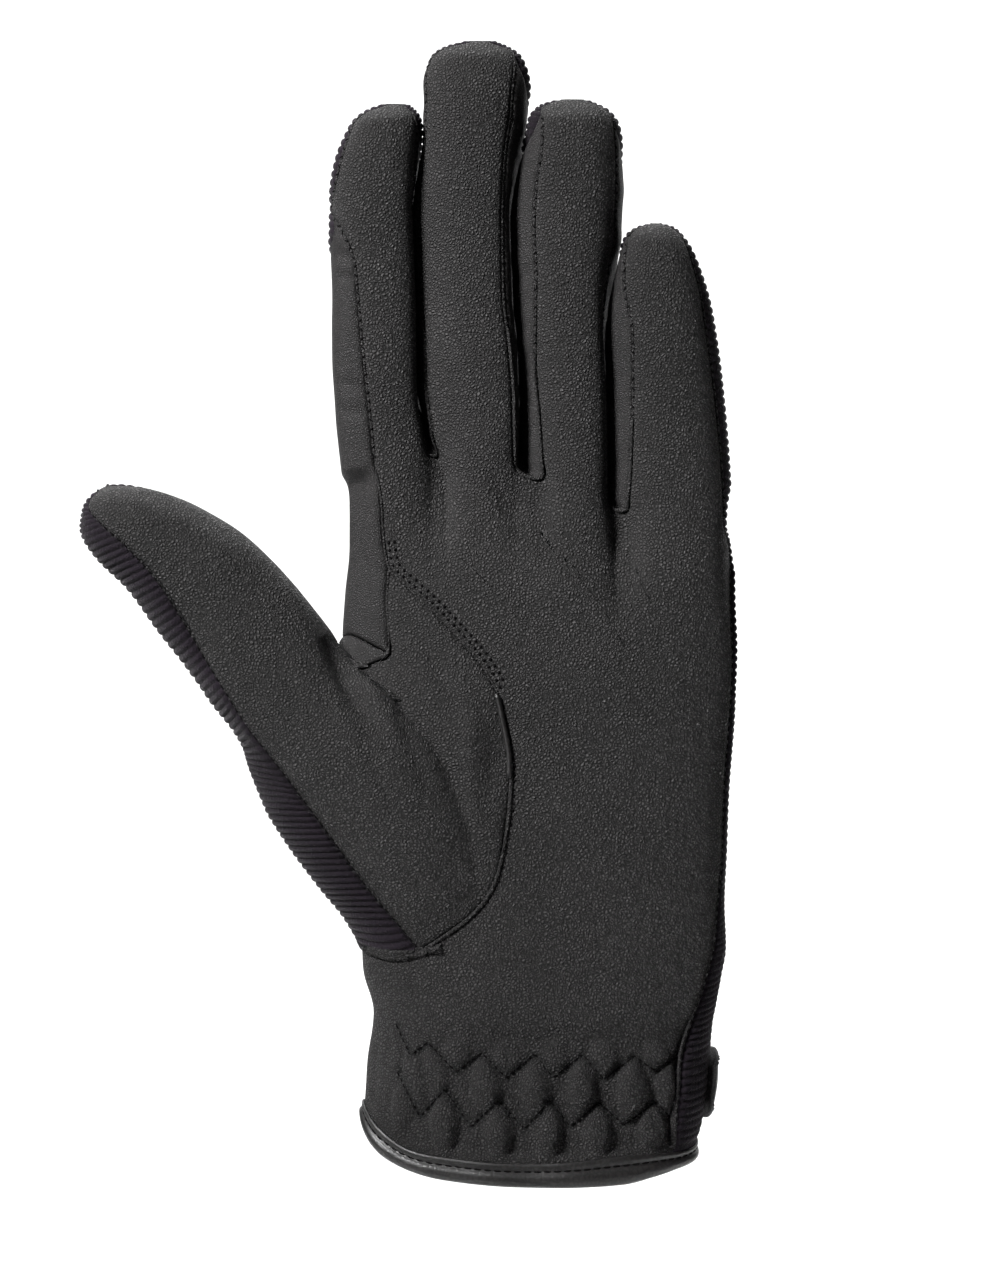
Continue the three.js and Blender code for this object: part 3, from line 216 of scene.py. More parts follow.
# Soft folds of the leather: half width and height in millimetres, then across and up along the fold.
PALM_FOLDS = [
    (1.6, -0.7, [(-0.108, 0.623), (-0.085, 0.606), (-0.057, 0.581)]),
    (1.0, 0.4, [(-0.222, 0.64), (-0.19, 0.634), (-0.157, 0.625)]),
    (2.2, -0.8, [(0.224, 0.587), (0.242, 0.565), (0.263, 0.534)]),
    (1.4, -0.5, [(0.03, 0.626), (0.018, 0.606), (0.0, 0.586)]),
    (3.4, 0.7, [(-0.06, 0.56), (0.05, 0.53), (0.18, 0.52)]),
    (3.0, -0.5, [(-0.08, 0.52), (0.03, 0.49), (0.16, 0.475)]),
    (4.0, -0.6, [(0.02, 0.41), (0.14, 0.36), (0.3, 0.33)]),
    (3.2, 0.5, [(0.05, 0.35), (0.16, 0.3), (0.33, 0.27)]),
    (2.6, -0.5, [(-0.02, 0.235), (0.1, 0.215), (0.24, 0.2)]),
    (2.4, -0.6, [(-0.07, 0.2), (0.05, 0.18), (0.2, 0.165)]),
    (1.2, -0.5, [(-0.34, 0.185), (-0.3, 0.17), (-0.25, 0.165)]),
    (1.0, -0.5, [(-0.39, 0.152), (-0.385, 0.125), (-0.39, 0.1)]),
    (0.9, -0.4, [(-0.36, 0.15), (-0.352, 0.12), (-0.356, 0.095)]),
]
THUMB_FOLDS = [
    (1.8, -0.7, [(-0.34, 0.497), (-0.26, 0.46), (-0.2, 0.41)]),
    (3.0, -1.0, [(-0.105, 0.4), (-0.11, 0.36), (-0.1, 0.32)]),
    (2.0, 0.7, [(-0.17, 0.42), (-0.16, 0.37), (-0.15, 0.33)]),
    (1.5, -0.5, [(-0.25, 0.38), (-0.2, 0.34), (-0.16, 0.3)]),
    (1.4, -0.5, [(-0.36, 0.42), (-0.3, 0.37), (-0.27, 0.33)]),
    (1.3, -0.5, [(-0.45, 0.4), (-0.4, 0.36), (-0.35, 0.32)]),
    (2.0, 0.5, [(-0.3, 0.29), (-0.22, 0.26), (-0.15, 0.26)]),
    (3.0, -2.8, [(-0.528, 0.486), (-0.465, 0.434), (-0.389, 0.39)]),
    (2.6, 0.8, [(-0.44, 0.452), (-0.4, 0.42), (-0.35, 0.395)]),
    (1.2, -0.4, [(-0.6, 0.455), (-0.55, 0.44), (-0.52, 0.41)]),
    (1.2, -0.4, [(-0.66, 0.47), (-0.63, 0.44), (-0.6, 0.42)]),
]
SIDE_FOLDS = [
    (1.1, -0.45, [(-0.53, 0.815), (-0.49, 0.812), (-0.455, 0.806)]),
    (1.1, -0.4, [(-0.53, 0.797), (-0.49, 0.794), (-0.455, 0.792)]),
    (1.2, -0.45, [(-0.53, 0.705), (-0.48, 0.7), (-0.42, 0.694)]),
    (1.2, -0.4, [(-0.52, 0.68), (-0.48, 0.677), (-0.42, 0.674)]),
]


def ease(t):
    """Smooth step from 0 to 1."""
    t = np.clip(t, 0, 1)
    return t * t * (3 - 2 * t)


def lerp(a, b, t):
    """The value a share t of the way from a to b."""
    return a + (b - a) * t


def spread(v):
    """Rounded-oval share of a sine or cosine."""
    return np.sign(v) * np.abs(v) ** (2 / SECTION_POWER)


def turn_of(share):
    """Turn in degrees at which an oval section reaches a share of its half width."""
    return np.degrees(np.arcsin(np.minimum(1, np.abs(share)) ** (SECTION_POWER / 2)))


BACK_SEAM_TURN = 180 - float(turn_of(BACK_SEAM_SHARE))


def hermite(a, slope_a, b, slope_b, t):
    """A smooth run from a to b that leaves and arrives with the given slopes."""
    return (
        a * (2 * t**3 - 3 * t**2 + 1) + slope_a * (t**3 - 2 * t**2 + t)
        + b * (3 * t**2 - 2 * t**3) + slope_b * (t**3 - t**2)
    )


def run_through(rows, stops):
    """A smooth run through table rows; stops are the places of the rows along it."""
    rows = np.asarray(rows, float)
    stops = np.asarray(stops, float)
    shape = rows.shape[1:]
    rows = rows.reshape(len(rows), -1)
    low = np.maximum(np.arange(len(rows)) - 1, 0)
    high = np.minimum(np.arange(len(rows)) + 1, len(rows) - 1)
    slopes = (rows[high] - rows[low]) / (stops[high] - stops[low])[:, None]

    def at(place):
        place = np.clip(np.asarray(place, float), stops[0], stops[-1])
        i = np.clip(np.searchsorted(stops, place) - 1, 0, len(rows) - 2)
        span = (stops[i + 1] - stops[i])[..., None]
        t = (place - stops[i])[..., None] / span
        found = hermite(rows[i], slopes[i] * span, rows[i + 1], slopes[i + 1] * span, t)
        return found.reshape(place.shape + shape)

    return at


def stops_by(spots):
    """Places of rows by the distance between them, from 0 to 1."""
    spots = np.asarray(spots, float).reshape(len(spots), -1)
    gaps = np.linalg.norm(np.diff(spots, axis=0), axis=1)
    return np.concatenate([[0], np.cumsum(gaps)]) / gaps.sum()


def resample(points, count):
    """Points along a broken line, evenly by length."""
    points = np.asarray(points, float)
    stops = stops_by(points)
    share = np.linspace(0, 1, count)
    return np.stack([np.interp(share, stops, points[:, k]) for k in range(points.shape[1])], 1)


def shares(count):
    """Even shares from 0 to 1, with their ends."""
    return np.linspace(0, 1, count + 1)


def path_length(points):
    """Length along a row of points."""
    return float(np.linalg.norm(np.diff(points, axis=0), axis=1).sum())


def grid_quads(index):
    """Four-sided faces of a grid of corner numbers."""
    return np.stack([index[:-1, :-1], index[:-1, 1:], index[1:, 1:], index[1:, :-1]], -1).reshape(-1, 4)


def unit(ways):
    """Directions made one long."""
    return ways / np.linalg.norm(ways, axis=-1, keepdims=True)


class Sizes(bpy.types.PropertyGroup):
    """The sizes of the glove that a user would change."""

    hand_length: FloatProperty(
        name="Hand length", description="From the hem to the tip of the middle finger",
        default=0.24, min=0.15, max=0.32, unit="LENGTH", subtype="DISTANCE")
    hand_width: FloatProperty(
        name="Hand width", description="Width of the palm across the knuckles",
        default=0.0818, min=0.05, max=0.12, unit="LENGTH", subtype="DISTANCE")
    palm_depth: FloatProperty(
        name="Palm depth", description="Thickness of the filled palm",
        default=0.025, min=0.01, max=0.05, unit="LENGTH", subtype="DISTANCE")
    finger_depth: FloatProperty(
        name="Finger depth", description="Thickness of a filled finger",
        default=0.0185, min=0.01, max=0.03, unit="LENGTH", subtype="DISTANCE")
    thumb_depth: FloatProperty(
        name="Thumb depth", description="Thickness of the filled thumb",
        default=0.021, min=0.01, max=0.03, unit="LENGTH", subtype="DISTANCE")
    fingertip_curl: FloatProperty(
        name="Fingertip curl", description="How far the fingertips lean towards the palm",
        default=0.006, min=0, max=0.03, unit="LENGTH", subtype="DISTANCE")
    thumb_forward: FloatProperty(
        name="Thumb forward", description="How far the thumb stands in front of the hand's middle",
        default=0.005, min=0, max=0.02, unit="LENGTH", subtype="DISTANCE")
    thenar_swell: FloatProperty(
        name="Thumb base swell", description="How far the ball of the thumb swells out",
        default=0.004, min=0, max=0.02, unit="LENGTH", subtype="DISTANCE")
    knuckle_run: FloatProperty(
        name="Knuckle run", description="Length over which the hand blends into the fingers",
        default=0.03, min=0.005, max=0.06, unit="LENGTH", subtype="DISTANCE")
    leather_wall: FloatProperty(
        name="Leather thickness", description="Thickness of the leather panels",
        default=0.0012, min=0.0004, max=0.003, unit="LENGTH", subtype="DISTANCE")
    cloth_wall: FloatProperty(
        name="Cloth thickness", description="Thickness of the ribbed cloth",
        default=0.0013, min=0.0004, max=0.003, unit="LENGTH", subtype="DISTANCE")
    rib_pitch: FloatProperty(
        name="Rib pitch", description="Distance between the ribs of the cloth",
        default=0.00165, min=0.001, max=0.004, unit="LENGTH", subtype="DISTANCE")
    rib_height: FloatProperty(
        name="Rib height", description="Height of the ribs of the cloth",
        default=0.00042, min=0, max=0.001, unit="LENGTH", subtype="DISTANCE")
    stitch_length: FloatProperty(
        name="Stitch length", description="Length of one stitch with its gap",
        default=0.0019, min=0.001, max=0.005, unit="LENGTH", subtype="DISTANCE")
    thread_width: FloatProperty(
        name="Thread width", description="Thickness of the sewing thread",
        default=0.00035, min=0.0001, max=0.001, unit="LENGTH", subtype="DISTANCE")
    welt_width: FloatProperty(
        name="Welt width", description="Thickness of the raised edge along a seam",
        default=0.0008, min=0.0002, max=0.002, unit="LENGTH", subtype="DISTANCE")


class Finish(bpy.types.PropertyGroup):
    """The colours of the glove and its stage."""

    palm_leather: FloatVectorProperty(
        name="Palm leather", description="Colour of the grained leather",
        default=(0.029, 0.0272, 0.0275), size=3, min=0, max=1, subtype="COLOR")
    smooth_leather: FloatVectorProperty(
        name="Smooth leather", description="Colour of the side panel and the strips between fingers",
        default=(0.0135, 0.0117, 0.012), size=3, min=0, max=1, subtype="COLOR")
    band_leather: FloatVectorProperty(
        name="Band leather", description="Colour of the hem band",
        default=(0.013, 0.0115, 0.0115), size=3, min=0, max=1, subtype="COLOR")
    rib_cloth: FloatVectorProperty(
        name="Ribbed cloth", description="Colour of the stretch cloth",
        default=(0.0075, 0.0046, 0.0084), size=3, min=0, max=1, subtype="COLOR")
    # The thread colour also serves the dark dots of painted shade at the stitch holes.
    thread: FloatVectorProperty(
        name="Thread", description="Colour of the sewing thread",
        default=(0.003, 0.0027, 0.003), size=3, min=0, max=1, subtype="COLOR")
    floor: FloatVectorProperty(
        name="Floor", description="Colour of the floor and backdrop",
        default=(0.86, 0.86, 0.86), size=3, min=0, max=1, subtype="COLOR")


def size(name):
    """A size of the glove in millimetres."""
    return getattr(bpy.context.scene.glove_sizes, name) * 1000


def with_tip(surface, points, turns):
    """Adds to a grid of points the rows that close its tip."""
    caps = [surface.point(1.0, turns[-1], shut)[None] for shut in TIP_CAPS]
    return np.concatenate([points, *caps])


class Finger:
    """One finger's surface; a turn of 0 looks to the palm side, 90 to the little-finger side."""

    def __init__(self, name):
        self.name = name
        self.base, rows = FINGER_TABLES[name]
        self.rows = np.array(rows)
        self.length, self.width = size("hand_length"), size("hand_width")
        spots = self.rows[:, :3] * (self.length, self.width, self.width)
        self.run = run_through(self.rows, stops_by(spots))
        self.foot, self.tip = self.rows[0, 0], self.rows[-1, 0]

    def section(self, t):
        """The finger's middle, half width, depth and seam turns at shares t of its length."""
        up, left, right, seam_left, seam_right, deep = np.moveaxis(self.run(t), -1, 0)
        centre = (left + right) / 2 * self.width
        half = (right - left) / 2 * self.width
        rise = (up - self.foot) / (self.tip - self.foot)
        return {
            "centre": centre, "half": half, "rise": rise, "up": up,
            "depth": deep * size("finger_depth") / 2,
            "middle": -size("fingertip_curl") * rise**2,
            "front_left": turn_of((centre - seam_left * self.width) / half),
            "front_right": turn_of((seam_right * self.width - centre) / half),
        }

    def point(self, t, turn, shut=0):
        """Points at shares t of the finger and turns; shut from 0 to 1 draws the tip together."""
        s = self.section(np.broadcast_to(t, np.shape(turn)))
        across = spread(np.sin(np.radians(turn)))
        away = -s["depth"] * spread(np.cos(np.radians(turn))) * (1 - shut)
        base = lerp(self.base[0], self.base[1], (1 + across) / 2)
        x = s["centre"] + s["half"] * across * (1 - CAP_DRAW_IN * shut) + FINGER_NEST * away
        z = lerp(base, self.tip, s["rise"]) * self.length + CAP_RISE * shut
        return np.stack([x, s["middle"] + away, z], -1)


class Hand:
    """The hand and cuff's surface, blended into the row of finger bases."""

    def __init__(self, fingers):
        self.fingers = fingers
        self.length, self.width = size("hand_length"), size("hand_width")
        rows = np.array(HAND_ROWS)
        self.run = run_through(rows[:, 1:], rows[:, 0])
        first, last = fingers[0], fingers[-1]
        self.crotches = [(first.rows[0, 1], first.base[0])]
        for before, after in zip(fingers, fingers[1:]):
            self.crotches.append(((before.rows[0, 2] + after.rows[0, 1]) / 2, after.base[0]))
        self.crotches += [(last.rows[0, 2], last.base[1])]
        self.knuckles = {side: self.knuckle_line(side) for side in (1, -1)}

    def knuckle_line(self, side):
        """Depth of the finger bases along the hand's width, on the palm side (1) or the back (-1)."""
        xs, ys = [], []
        for finger in self.fingers:
            s = finger.section(0)
            if side > 0:
                turns = np.linspace(-s["front_left"], s["front_right"], 60)
            else:
                turns = 180 - np.linspace(-(180 - BACK_SEAM_TURN), 180 - BACK_SEAM_TURN, 60)
            points = finger.point(0, turns)
            xs.append(points[:, 0])
            ys.append(points[:, 1])
        xs, ys = np.concatenate(xs), np.concatenate(ys)
        start, end = self.crotches[0][0] * self.width, self.crotches[-1][0] * self.width
        order = np.argsort(xs)
        return np.concatenate([[start], xs[order], [end]]), np.concatenate([[0], ys[order], [0]])

    def section(self, up):
        """The hand's middle, half width and half depth at a height."""
        left, right, deep = np.moveaxis(self.run(up), -1, 0)
        centre, half = (left + right) / 2 * self.width, (right - left) / 2 * self.width
        return centre, half, deep * size("palm_depth") / 2

    def point(self, turn, up):
        """Points at turns round the hand and heights as shares of its length."""
        centre, half, depth = self.section(up)
        x = centre + half * spread(np.sin(np.radians(turn)))
        facing = spread(np.cos(np.radians(turn)))
        across, ups = np.array(self.crotches).T
        below = (np.interp(x / self.width, across, ups) - up) * self.length / size("knuckle_run")
        knuckle = np.where(facing > 0, np.interp(x, *self.knuckles[1]), np.interp(x, *self.knuckles[-1]))
        y = lerp(knuckle, -depth * facing, ease(below))
        return np.stack([x, y, up * self.length], -1)

    def normal(self, turn, up, step=0.5):
        """Level directions out of the hand's surface."""
        ahead = self.point(turn + step, up) - self.point(turn - step, up)
        return unit(np.stack([ahead[..., 1], -ahead[..., 0], np.zeros_like(ahead[..., 0])], -1))

    def turn_at(self, x, up, face):
        """The turn at which x lies on the hand at that height; face as in the seam table."""
        centre, half, _ = self.section(np.asarray(up, float))
        side = np.sign(x - centre)
        turn = side * turn_of((x - centre) / half)
        return np.where(face == 0, 90 * side, np.where(face > 0, turn, 180 - turn))

    def spots(self, rows):
        """Table rows (across, up[, face]) as turns and heights."""
        rows = np.array([(*row, 1)[:3] for row in rows], float)
        turn = self.turn_at(rows[:, 0] * self.width, rows[:, 1], rows[:, 2])
        return np.stack([turn, rows[:, 1]], 1)


def hem_at(turn, column):
    """Height share of the hem binding's top (1) or foot (2) at a turn."""
    rows = np.array(HEM_ROWS, float)
    run = run_through(rows[:, 1:], rows[:, 0])
    wrapped = (np.asarray(turn, float) + 180) % 360 - 180
    return run(wrapped)[..., column - 1]


class Thumb:
    """The free thumb's surface, its sections square to its length."""

    def __init__(self):
        rows = np.array(THUMB_ROWS)
        self.scale = np.array([size("hand_width"), size("hand_length")])
        self.run = run_through(rows, stops_by(rows[:, :4] * np.tile(self.scale, 2)))

    def parts(self, t):
        """Both edges, the rib seam and the share of depth at shares t of the thumb."""
        row = self.run(t)
        left, right, seam = (row[..., i:i + 2] * self.scale for i in (0, 2, 4))
        return left, right, seam, row[..., 6]

    def point(self, t, turn, shut=0):
        """Points at shares t of the thumb and turns; shut from 0 to 1 draws the tip together."""
        left, right, _, deep = self.parts(np.broadcast_to(t, np.shape(turn)))
        centre = (left + right) / 2
        edge = right - centre
        across = spread(np.sin(np.radians(turn)))[..., None]
        away = -deep * size("thumb_depth") / 2 * spread(np.cos(np.radians(turn))) * (1 - shut)
        flat = centre + edge * across * (1 - CAP_DRAW_IN * shut)
        flat = flat + CAP_RISE * shut * unit(np.stack([-edge[..., 1], edge[..., 0]], -1))
        return np.stack([flat[..., 0], away - size("thumb_forward"), flat[..., 1]], -1)

    def seam_turn(self, t):
        """Turn of the seam between leather and ribbed cloth, outer side."""
        left, right, seam, _ = self.parts(t)
        centre = (left + right) / 2
        edge, spot = centre - left, centre - seam
        return turn_of((edge * spot).sum(-1) / (edge**2).sum(-1))

    def back_turn(self, t):
        """Turn of the same seam on the side that faces the hand."""
        return lerp(90, THUMB_SEAM_TURN, ease(np.asarray(t, float) / 0.2))


class Skin:
    """The outer face of one piece: grids of points in millimetres, joined where they meet."""

    def __init__(self):
        self.grids = []
        self.ribs = []

    def grid(self, points, ribs=None):
        """Rows run so that the outer face is seen with rows going up to the right."""
        self.grids.append(np.asarray(points, float))
        self.ribs.append(np.broadcast_to(0.0 if ribs is None else ribs, points.shape[:2]))

    def join(self, pattern):
        """Joins the grids where their points meet, and finds the faces and the rim."""
        loose = np.concatenate([g.reshape(-1, 3) for g in self.grids])
        marks = np.concatenate([r.ravel() for r in self.ribs])
        _, first, number = np.unique(np.round(loose, 3), axis=0, return_index=True, return_inverse=True)
        number = number.reshape(-1)
        self.points, self.rib = pattern.nest(loose[first]), marks[first]
        faces, start = [], 0
        for grid in self.grids:
            rows, columns = grid.shape[:2]
            index = number[start:start + rows * columns].reshape(rows, columns)
            start += rows * columns
            faces.append(grid_quads(index))
        quads = np.concatenate(faces)
        same = [quads[:, k] == quads[:, (k + 1) % 4] for k in range(4)]
        folded = (quads[:, 0] == quads[:, 2]) | (quads[:, 1] == quads[:, 3])
        whole = ~(same[0] | same[1] | same[2] | same[3] | folded)
        self.quads = quads[whole]
        tris = []
        for k in range(4):
            others = [j for j in range(4) if j != k]
            pick = same[k] & ~folded & ~np.any([same[j] for j in others], axis=0)
            tris.append(quads[pick][:, [k, (k + 2) % 4, (k + 3) % 4]])
        self.tris = np.concatenate(tris)
        self.find_rim()
        return self

    def find_rim(self):
        """Edges with a face on one side only are the rim."""
        pairs = []
        for block in (self.quads, self.tris):
            width = block.shape[1]
            for k in range(width):
                pairs.append(block[:, [k, (k + 1) % width]])
        pairs = np.concatenate(pairs)
        count = len(self.points)
        key = pairs[:, 0].astype(np.int64) * count + pairs[:, 1]
        back = pairs[:, 1].astype(np.int64) * count + pairs[:, 0]
        self.rim = pairs[~np.isin(key, back)]
        self.edges = pairs

    def normals(self):
        """Outward direction of each point."""
        total = np.zeros_like(self.points)
        p = self.points
        for block in (self.quads, self.tris):
            if block.shape[1] == 4:
                normal = np.cross(p[block[:, 2]] - p[block[:, 0]], p[block[:, 3]] - p[block[:, 1]])
            else:
                normal = np.cross(p[block[:, 1]] - p[block[:, 0]], p[block[:, 2]] - p[block[:, 0]])
            for k in range(block.shape[1]):
                for axis in range(3):
                    total[:, axis] += np.bincount(block[:, k], normal[:, axis], len(p))
        return total / np.maximum(np.linalg.norm(total, axis=1, keepdims=True), 1e-9)

    def smooth(self, weight, rounds):
        """Evens out the points by their neighbours, where weight is above 0; the rim stays."""
        weight = weight.copy()
        weight[np.unique(self.rim)] = 0
        a, b = self.edges.T
        number = np.maximum(np.bincount(a, minlength=len(self.points)), 1)
        for _ in range(rounds):
            mean = np.stack([np.bincount(a, self.points[b, k], len(self.points)) for k in range(3)], 1)
            mean /= number[:, None]
            self.points += (mean - self.points) * weight[:, None]

    def rim_distance(self, reach):
        """How far each point lies from the piece's rim, up to a reach."""
        rim = self.points[self.rim].reshape(-1, 3)
        rim = np.concatenate([rim, self.points[self.rim].mean(1)])
        tree = KDTree(len(rim))
        for i, spot in enumerate(rim.tolist()):
            tree.insert(spot, i)
        tree.balance()
        found = np.full(len(self.points), float(reach))
        low, high = rim.min(0) - reach, rim.max(0) + reach
        near = np.all((self.points > low) & (self.points < high), axis=1)
        for i in np.flatnonzero(near):
            found[i] = min(reach, tree.find(self.points[i])[2])
        return found

    def raise_by(self, height):
        """Moves each point out of the surface by its own height."""
        self.points += self.normals() * height[:, None]

    def solid(self, name, wall, material, marks):
        """A closed mesh object with its wall behind the outer face, thinned at its edge."""
        inner = self.points - self.normals() * (wall * (1 - EDGE_THINNING * marks["edge"]))[:, None]
        count = len(self.points)
        points = np.concatenate([self.points, inner]) * 0.001
        first, second = self.rim.T
        rim = np.stack([second, first, first + count, second + count], 1)
        faces = [self.quads, self.quads[:, ::-1] + count, rim, self.tris, self.tris[:, ::-1] + count]
        made = mesh_object(name, points, faces, material)
        for key, values in marks.items():
            layer = made.data.attributes.new(key, "FLOAT", "POINT")
            layer.data.foreach_set("value", np.concatenate([values, np.zeros(count)]).astype(np.float32))
        return made


def mesh_object(name, points, blocks, material):
    """An object of one smooth mesh from points in metres and blocks of equal-sided faces."""
    old = bpy.data.objects.get(name)
    if old is not None:
        bpy.data.objects.remove(old)
    mesh = bpy.data.meshes.new(name)
    blocks = [np.asarray(b) for b in blocks if len(b)]
    corners = np.concatenate([b.ravel() for b in blocks]).astype(np.int32)
    totals = np.concatenate([np.full(len(b), b.shape[1]) for b in blocks]).astype(np.int32)
    mesh.vertices.add(len(points))
    mesh.vertices.foreach_set("co", np.asarray(points, np.float32).ravel())
    mesh.loops.add(len(corners))
    mesh.loops.foreach_set("vertex_index", corners)
    mesh.polygons.add(len(totals))
    mesh.polygons.foreach_set("loop_start", np.concatenate([[0], np.cumsum(totals)[:-1]]).astype(np.int32))
    mesh.polygons.foreach_set("loop_total", totals)
    mesh.update(calc_edges=True)
    mesh.validate()
    mesh.shade_smooth()
    mesh.materials.append(material)
    made = bpy.data.objects.new(name, mesh)
    bpy.context.scene.collection.objects.link(made)
    return made


def place(made, slot, *nodes):
    """The piece rides on the part's root body and stands for CAD nodes, which it hides; slot is not used.
    """
    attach(made, "root")
    if nodes:
        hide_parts(*nodes)
    return made


def line_fade(points, line, half_width):
    """Nearness of points (x, z) to a broken line, 1 on it and faded at its ends, and their distance."""
    line = np.asarray(line, float)
    lengths = np.linalg.norm(np.diff(line, axis=0), axis=1)
    starts = np.concatenate([[0], np.cumsum(lengths)])
    best = np.full(len(points), 1e9)
    fade = np.zeros(len(points))
    for i, length in enumerate(lengths):
        step = (line[i + 1] - line[i]) / length
        t = np.clip((points - line[i]) @ step, 0, length)
        gap = np.linalg.norm(points - (line[i] + t[:, None] * step), axis=1)
        best = np.minimum(best, gap)
        ends = np.sin(np.pi * np.clip((starts[i] + t) / starts[-1], 0.02, 0.98)) ** 0.5
        fade = np.maximum(fade, np.exp(-(gap / half_width) ** 2) * ends)
    return fade, best


def in_plane(rows):
    """Shares across and up as millimetres x and z."""
    return np.asarray(rows, float) * (size("hand_width"), size("hand_length"))


def folds(skin, table):
    """Height of the folds in a table over the palm side of a skin."""
    flat = skin.points[:, [0, 2]]
    facing = np.clip(-skin.normals()[:, 1] * 2, 0, 1)
    total = np.zeros(len(flat))
    for half_width, height, line in table:
        smooth = run_through(in_plane(line), [0, 0.5, 1])(np.linspace(0, 1, 9))
        fade, _ = line_fade(flat, smooth, half_width)
        total += height * fade
    return total * facing


def waves(points, pitch, seed):
    """Slow random waves between -1 and 1 over points in millimetres."""
    draw = np.random.default_rng(seed)
    total = np.zeros(len(points))
    for _ in range(7):
        way = draw.normal(size=3)
        way *= draw.uniform(0.6, 1.5) / np.linalg.norm(way)
        total += np.sin(points @ way * (2 * np.pi / pitch) + draw.uniform(0, 2 * np.pi))
    return total / 7 ** 0.5 / 1.6


def edge_roll(skin, drop, reach):
    """The turned edge of a piece, lower at its rim, and how far in each point lies as a share of reach."""
    near = skin.rim_distance(reach) / reach
    inside = np.clip(near, 0, 1)
    return -drop * (1 - np.sqrt(inside * (2 - inside))), near


CUFF_TOP = 0.15
CUFF_SINK = 1.3
PUFF_SCALE = 1.6
CREASE_PITCH = 4.2
CREASE_HEIGHT = 0.3
STITCH_GROOVE = 0.55


def gathers(skin):
    """Height of the puffs and stitch grooves of the elastic at the cuff, palm side, and the mask of painted
    shade along the stitch grooves.
    """
    flat = skin.points[:, [0, 2]]
    facing = np.clip(-skin.normals()[:, 1] * 2.5, 0, 1)
    width, length = size("hand_width"), size("hand_length")
    up = flat[:, 1] / length
    band = ease((CUFF_TOP - up) / 0.03)
    total = -CUFF_SINK * band * ease((up - 0.02) / 0.012)
    puff = np.zeros(len(flat))
    for top_x, top, foot_x, foot, half, height in PUFFS:
        v = np.clip((top - up) / (top - foot), 0, 1)
        inside = (up < top) & (up > foot)
        middle = lerp(top_x, foot_x, v) * width
        reach = half * width * (0.25 + 0.75 * np.sin(np.pi * v) ** 0.7)
        side = np.clip(np.abs(flat[:, 0] - middle) / reach, 0, 1)
        leaf = np.sqrt(1 - side**2) * np.sin(np.pi * v) ** 0.5
        puff = np.maximum(puff, np.where(inside, height * leaf, 0))
    total += puff * PUFF_SCALE
    groove = np.zeros(len(flat))
    for line in ZIGZAGS:
        _, gap = line_fade(flat, in_plane(line), STITCH_GROOVE)
        groove = np.maximum(groove, np.exp(-(gap / STITCH_GROOVE) ** 2))
    creases = waves(skin.points * (1, 0, 0.22), CREASE_PITCH, seed=71)
    total += CREASE_HEIGHT * np.minimum(creases, 0.2) * band * (1 - groove)
    total -= STITCH_GROOVE * groove * band
    return total * facing, groove * band * facing


def crotch_bridge(left, right, turn_left, turn_right, count):
    """Points across the crotch between two fingers, dipping like a rounded U, ends left out."""
    turn_left, turn_right = np.broadcast_arrays(turn_left, turn_right)
    a, b = left.point(0, turn_left), right.point(0, turn_right)
    a_next, b_next = left.point(0.02, turn_left), right.point(0.02, turn_right)
    reach = np.linalg.norm(b - a, axis=-1, keepdims=True) * 1.1
    down, rise = unit(a - a_next), unit(b_next - b)
    return np.array([hermite(a, down * reach, b, rise * reach, t) for t in shares(count + 1)[1:-1]])


def tip_taper(t):
    """How far a strip has narrowed towards the fingertip, from 0 to 1."""
    return ease((t - STRIP_TAPER) / (STRIP_END - STRIP_TAPER))


def back_right_turn(finger, section, t):
    """Turn of the back panel's seam on the little-finger side of a finger."""
    if finger.name == "little":
        return section["front_right"]
    return lerp(BACK_SEAM_TURN, section["front_right"], tip_taper(t))


def back_left_turn(finger, section, t):
    """Turn of the back panel's seam on the thumb side of a finger."""
    if finger.name != "index":
        return lerp(BACK_SEAM_TURN, section["front_left"], tip_taper(t))
    taper = np.clip((SIDE_PANEL_TOP - section["up"]) / SIDE_PANEL_TAPER, 0, 1)
    return lerp(section["front_left"], BACK_SEAM_TURN, ease(taper))


def turns_between(start, end, count):
    """Rows of turns, one row for each start and end."""
    return np.asarray(start)[:, None] + (np.asarray(end) - np.asarray(start))[:, None] * shares(count)


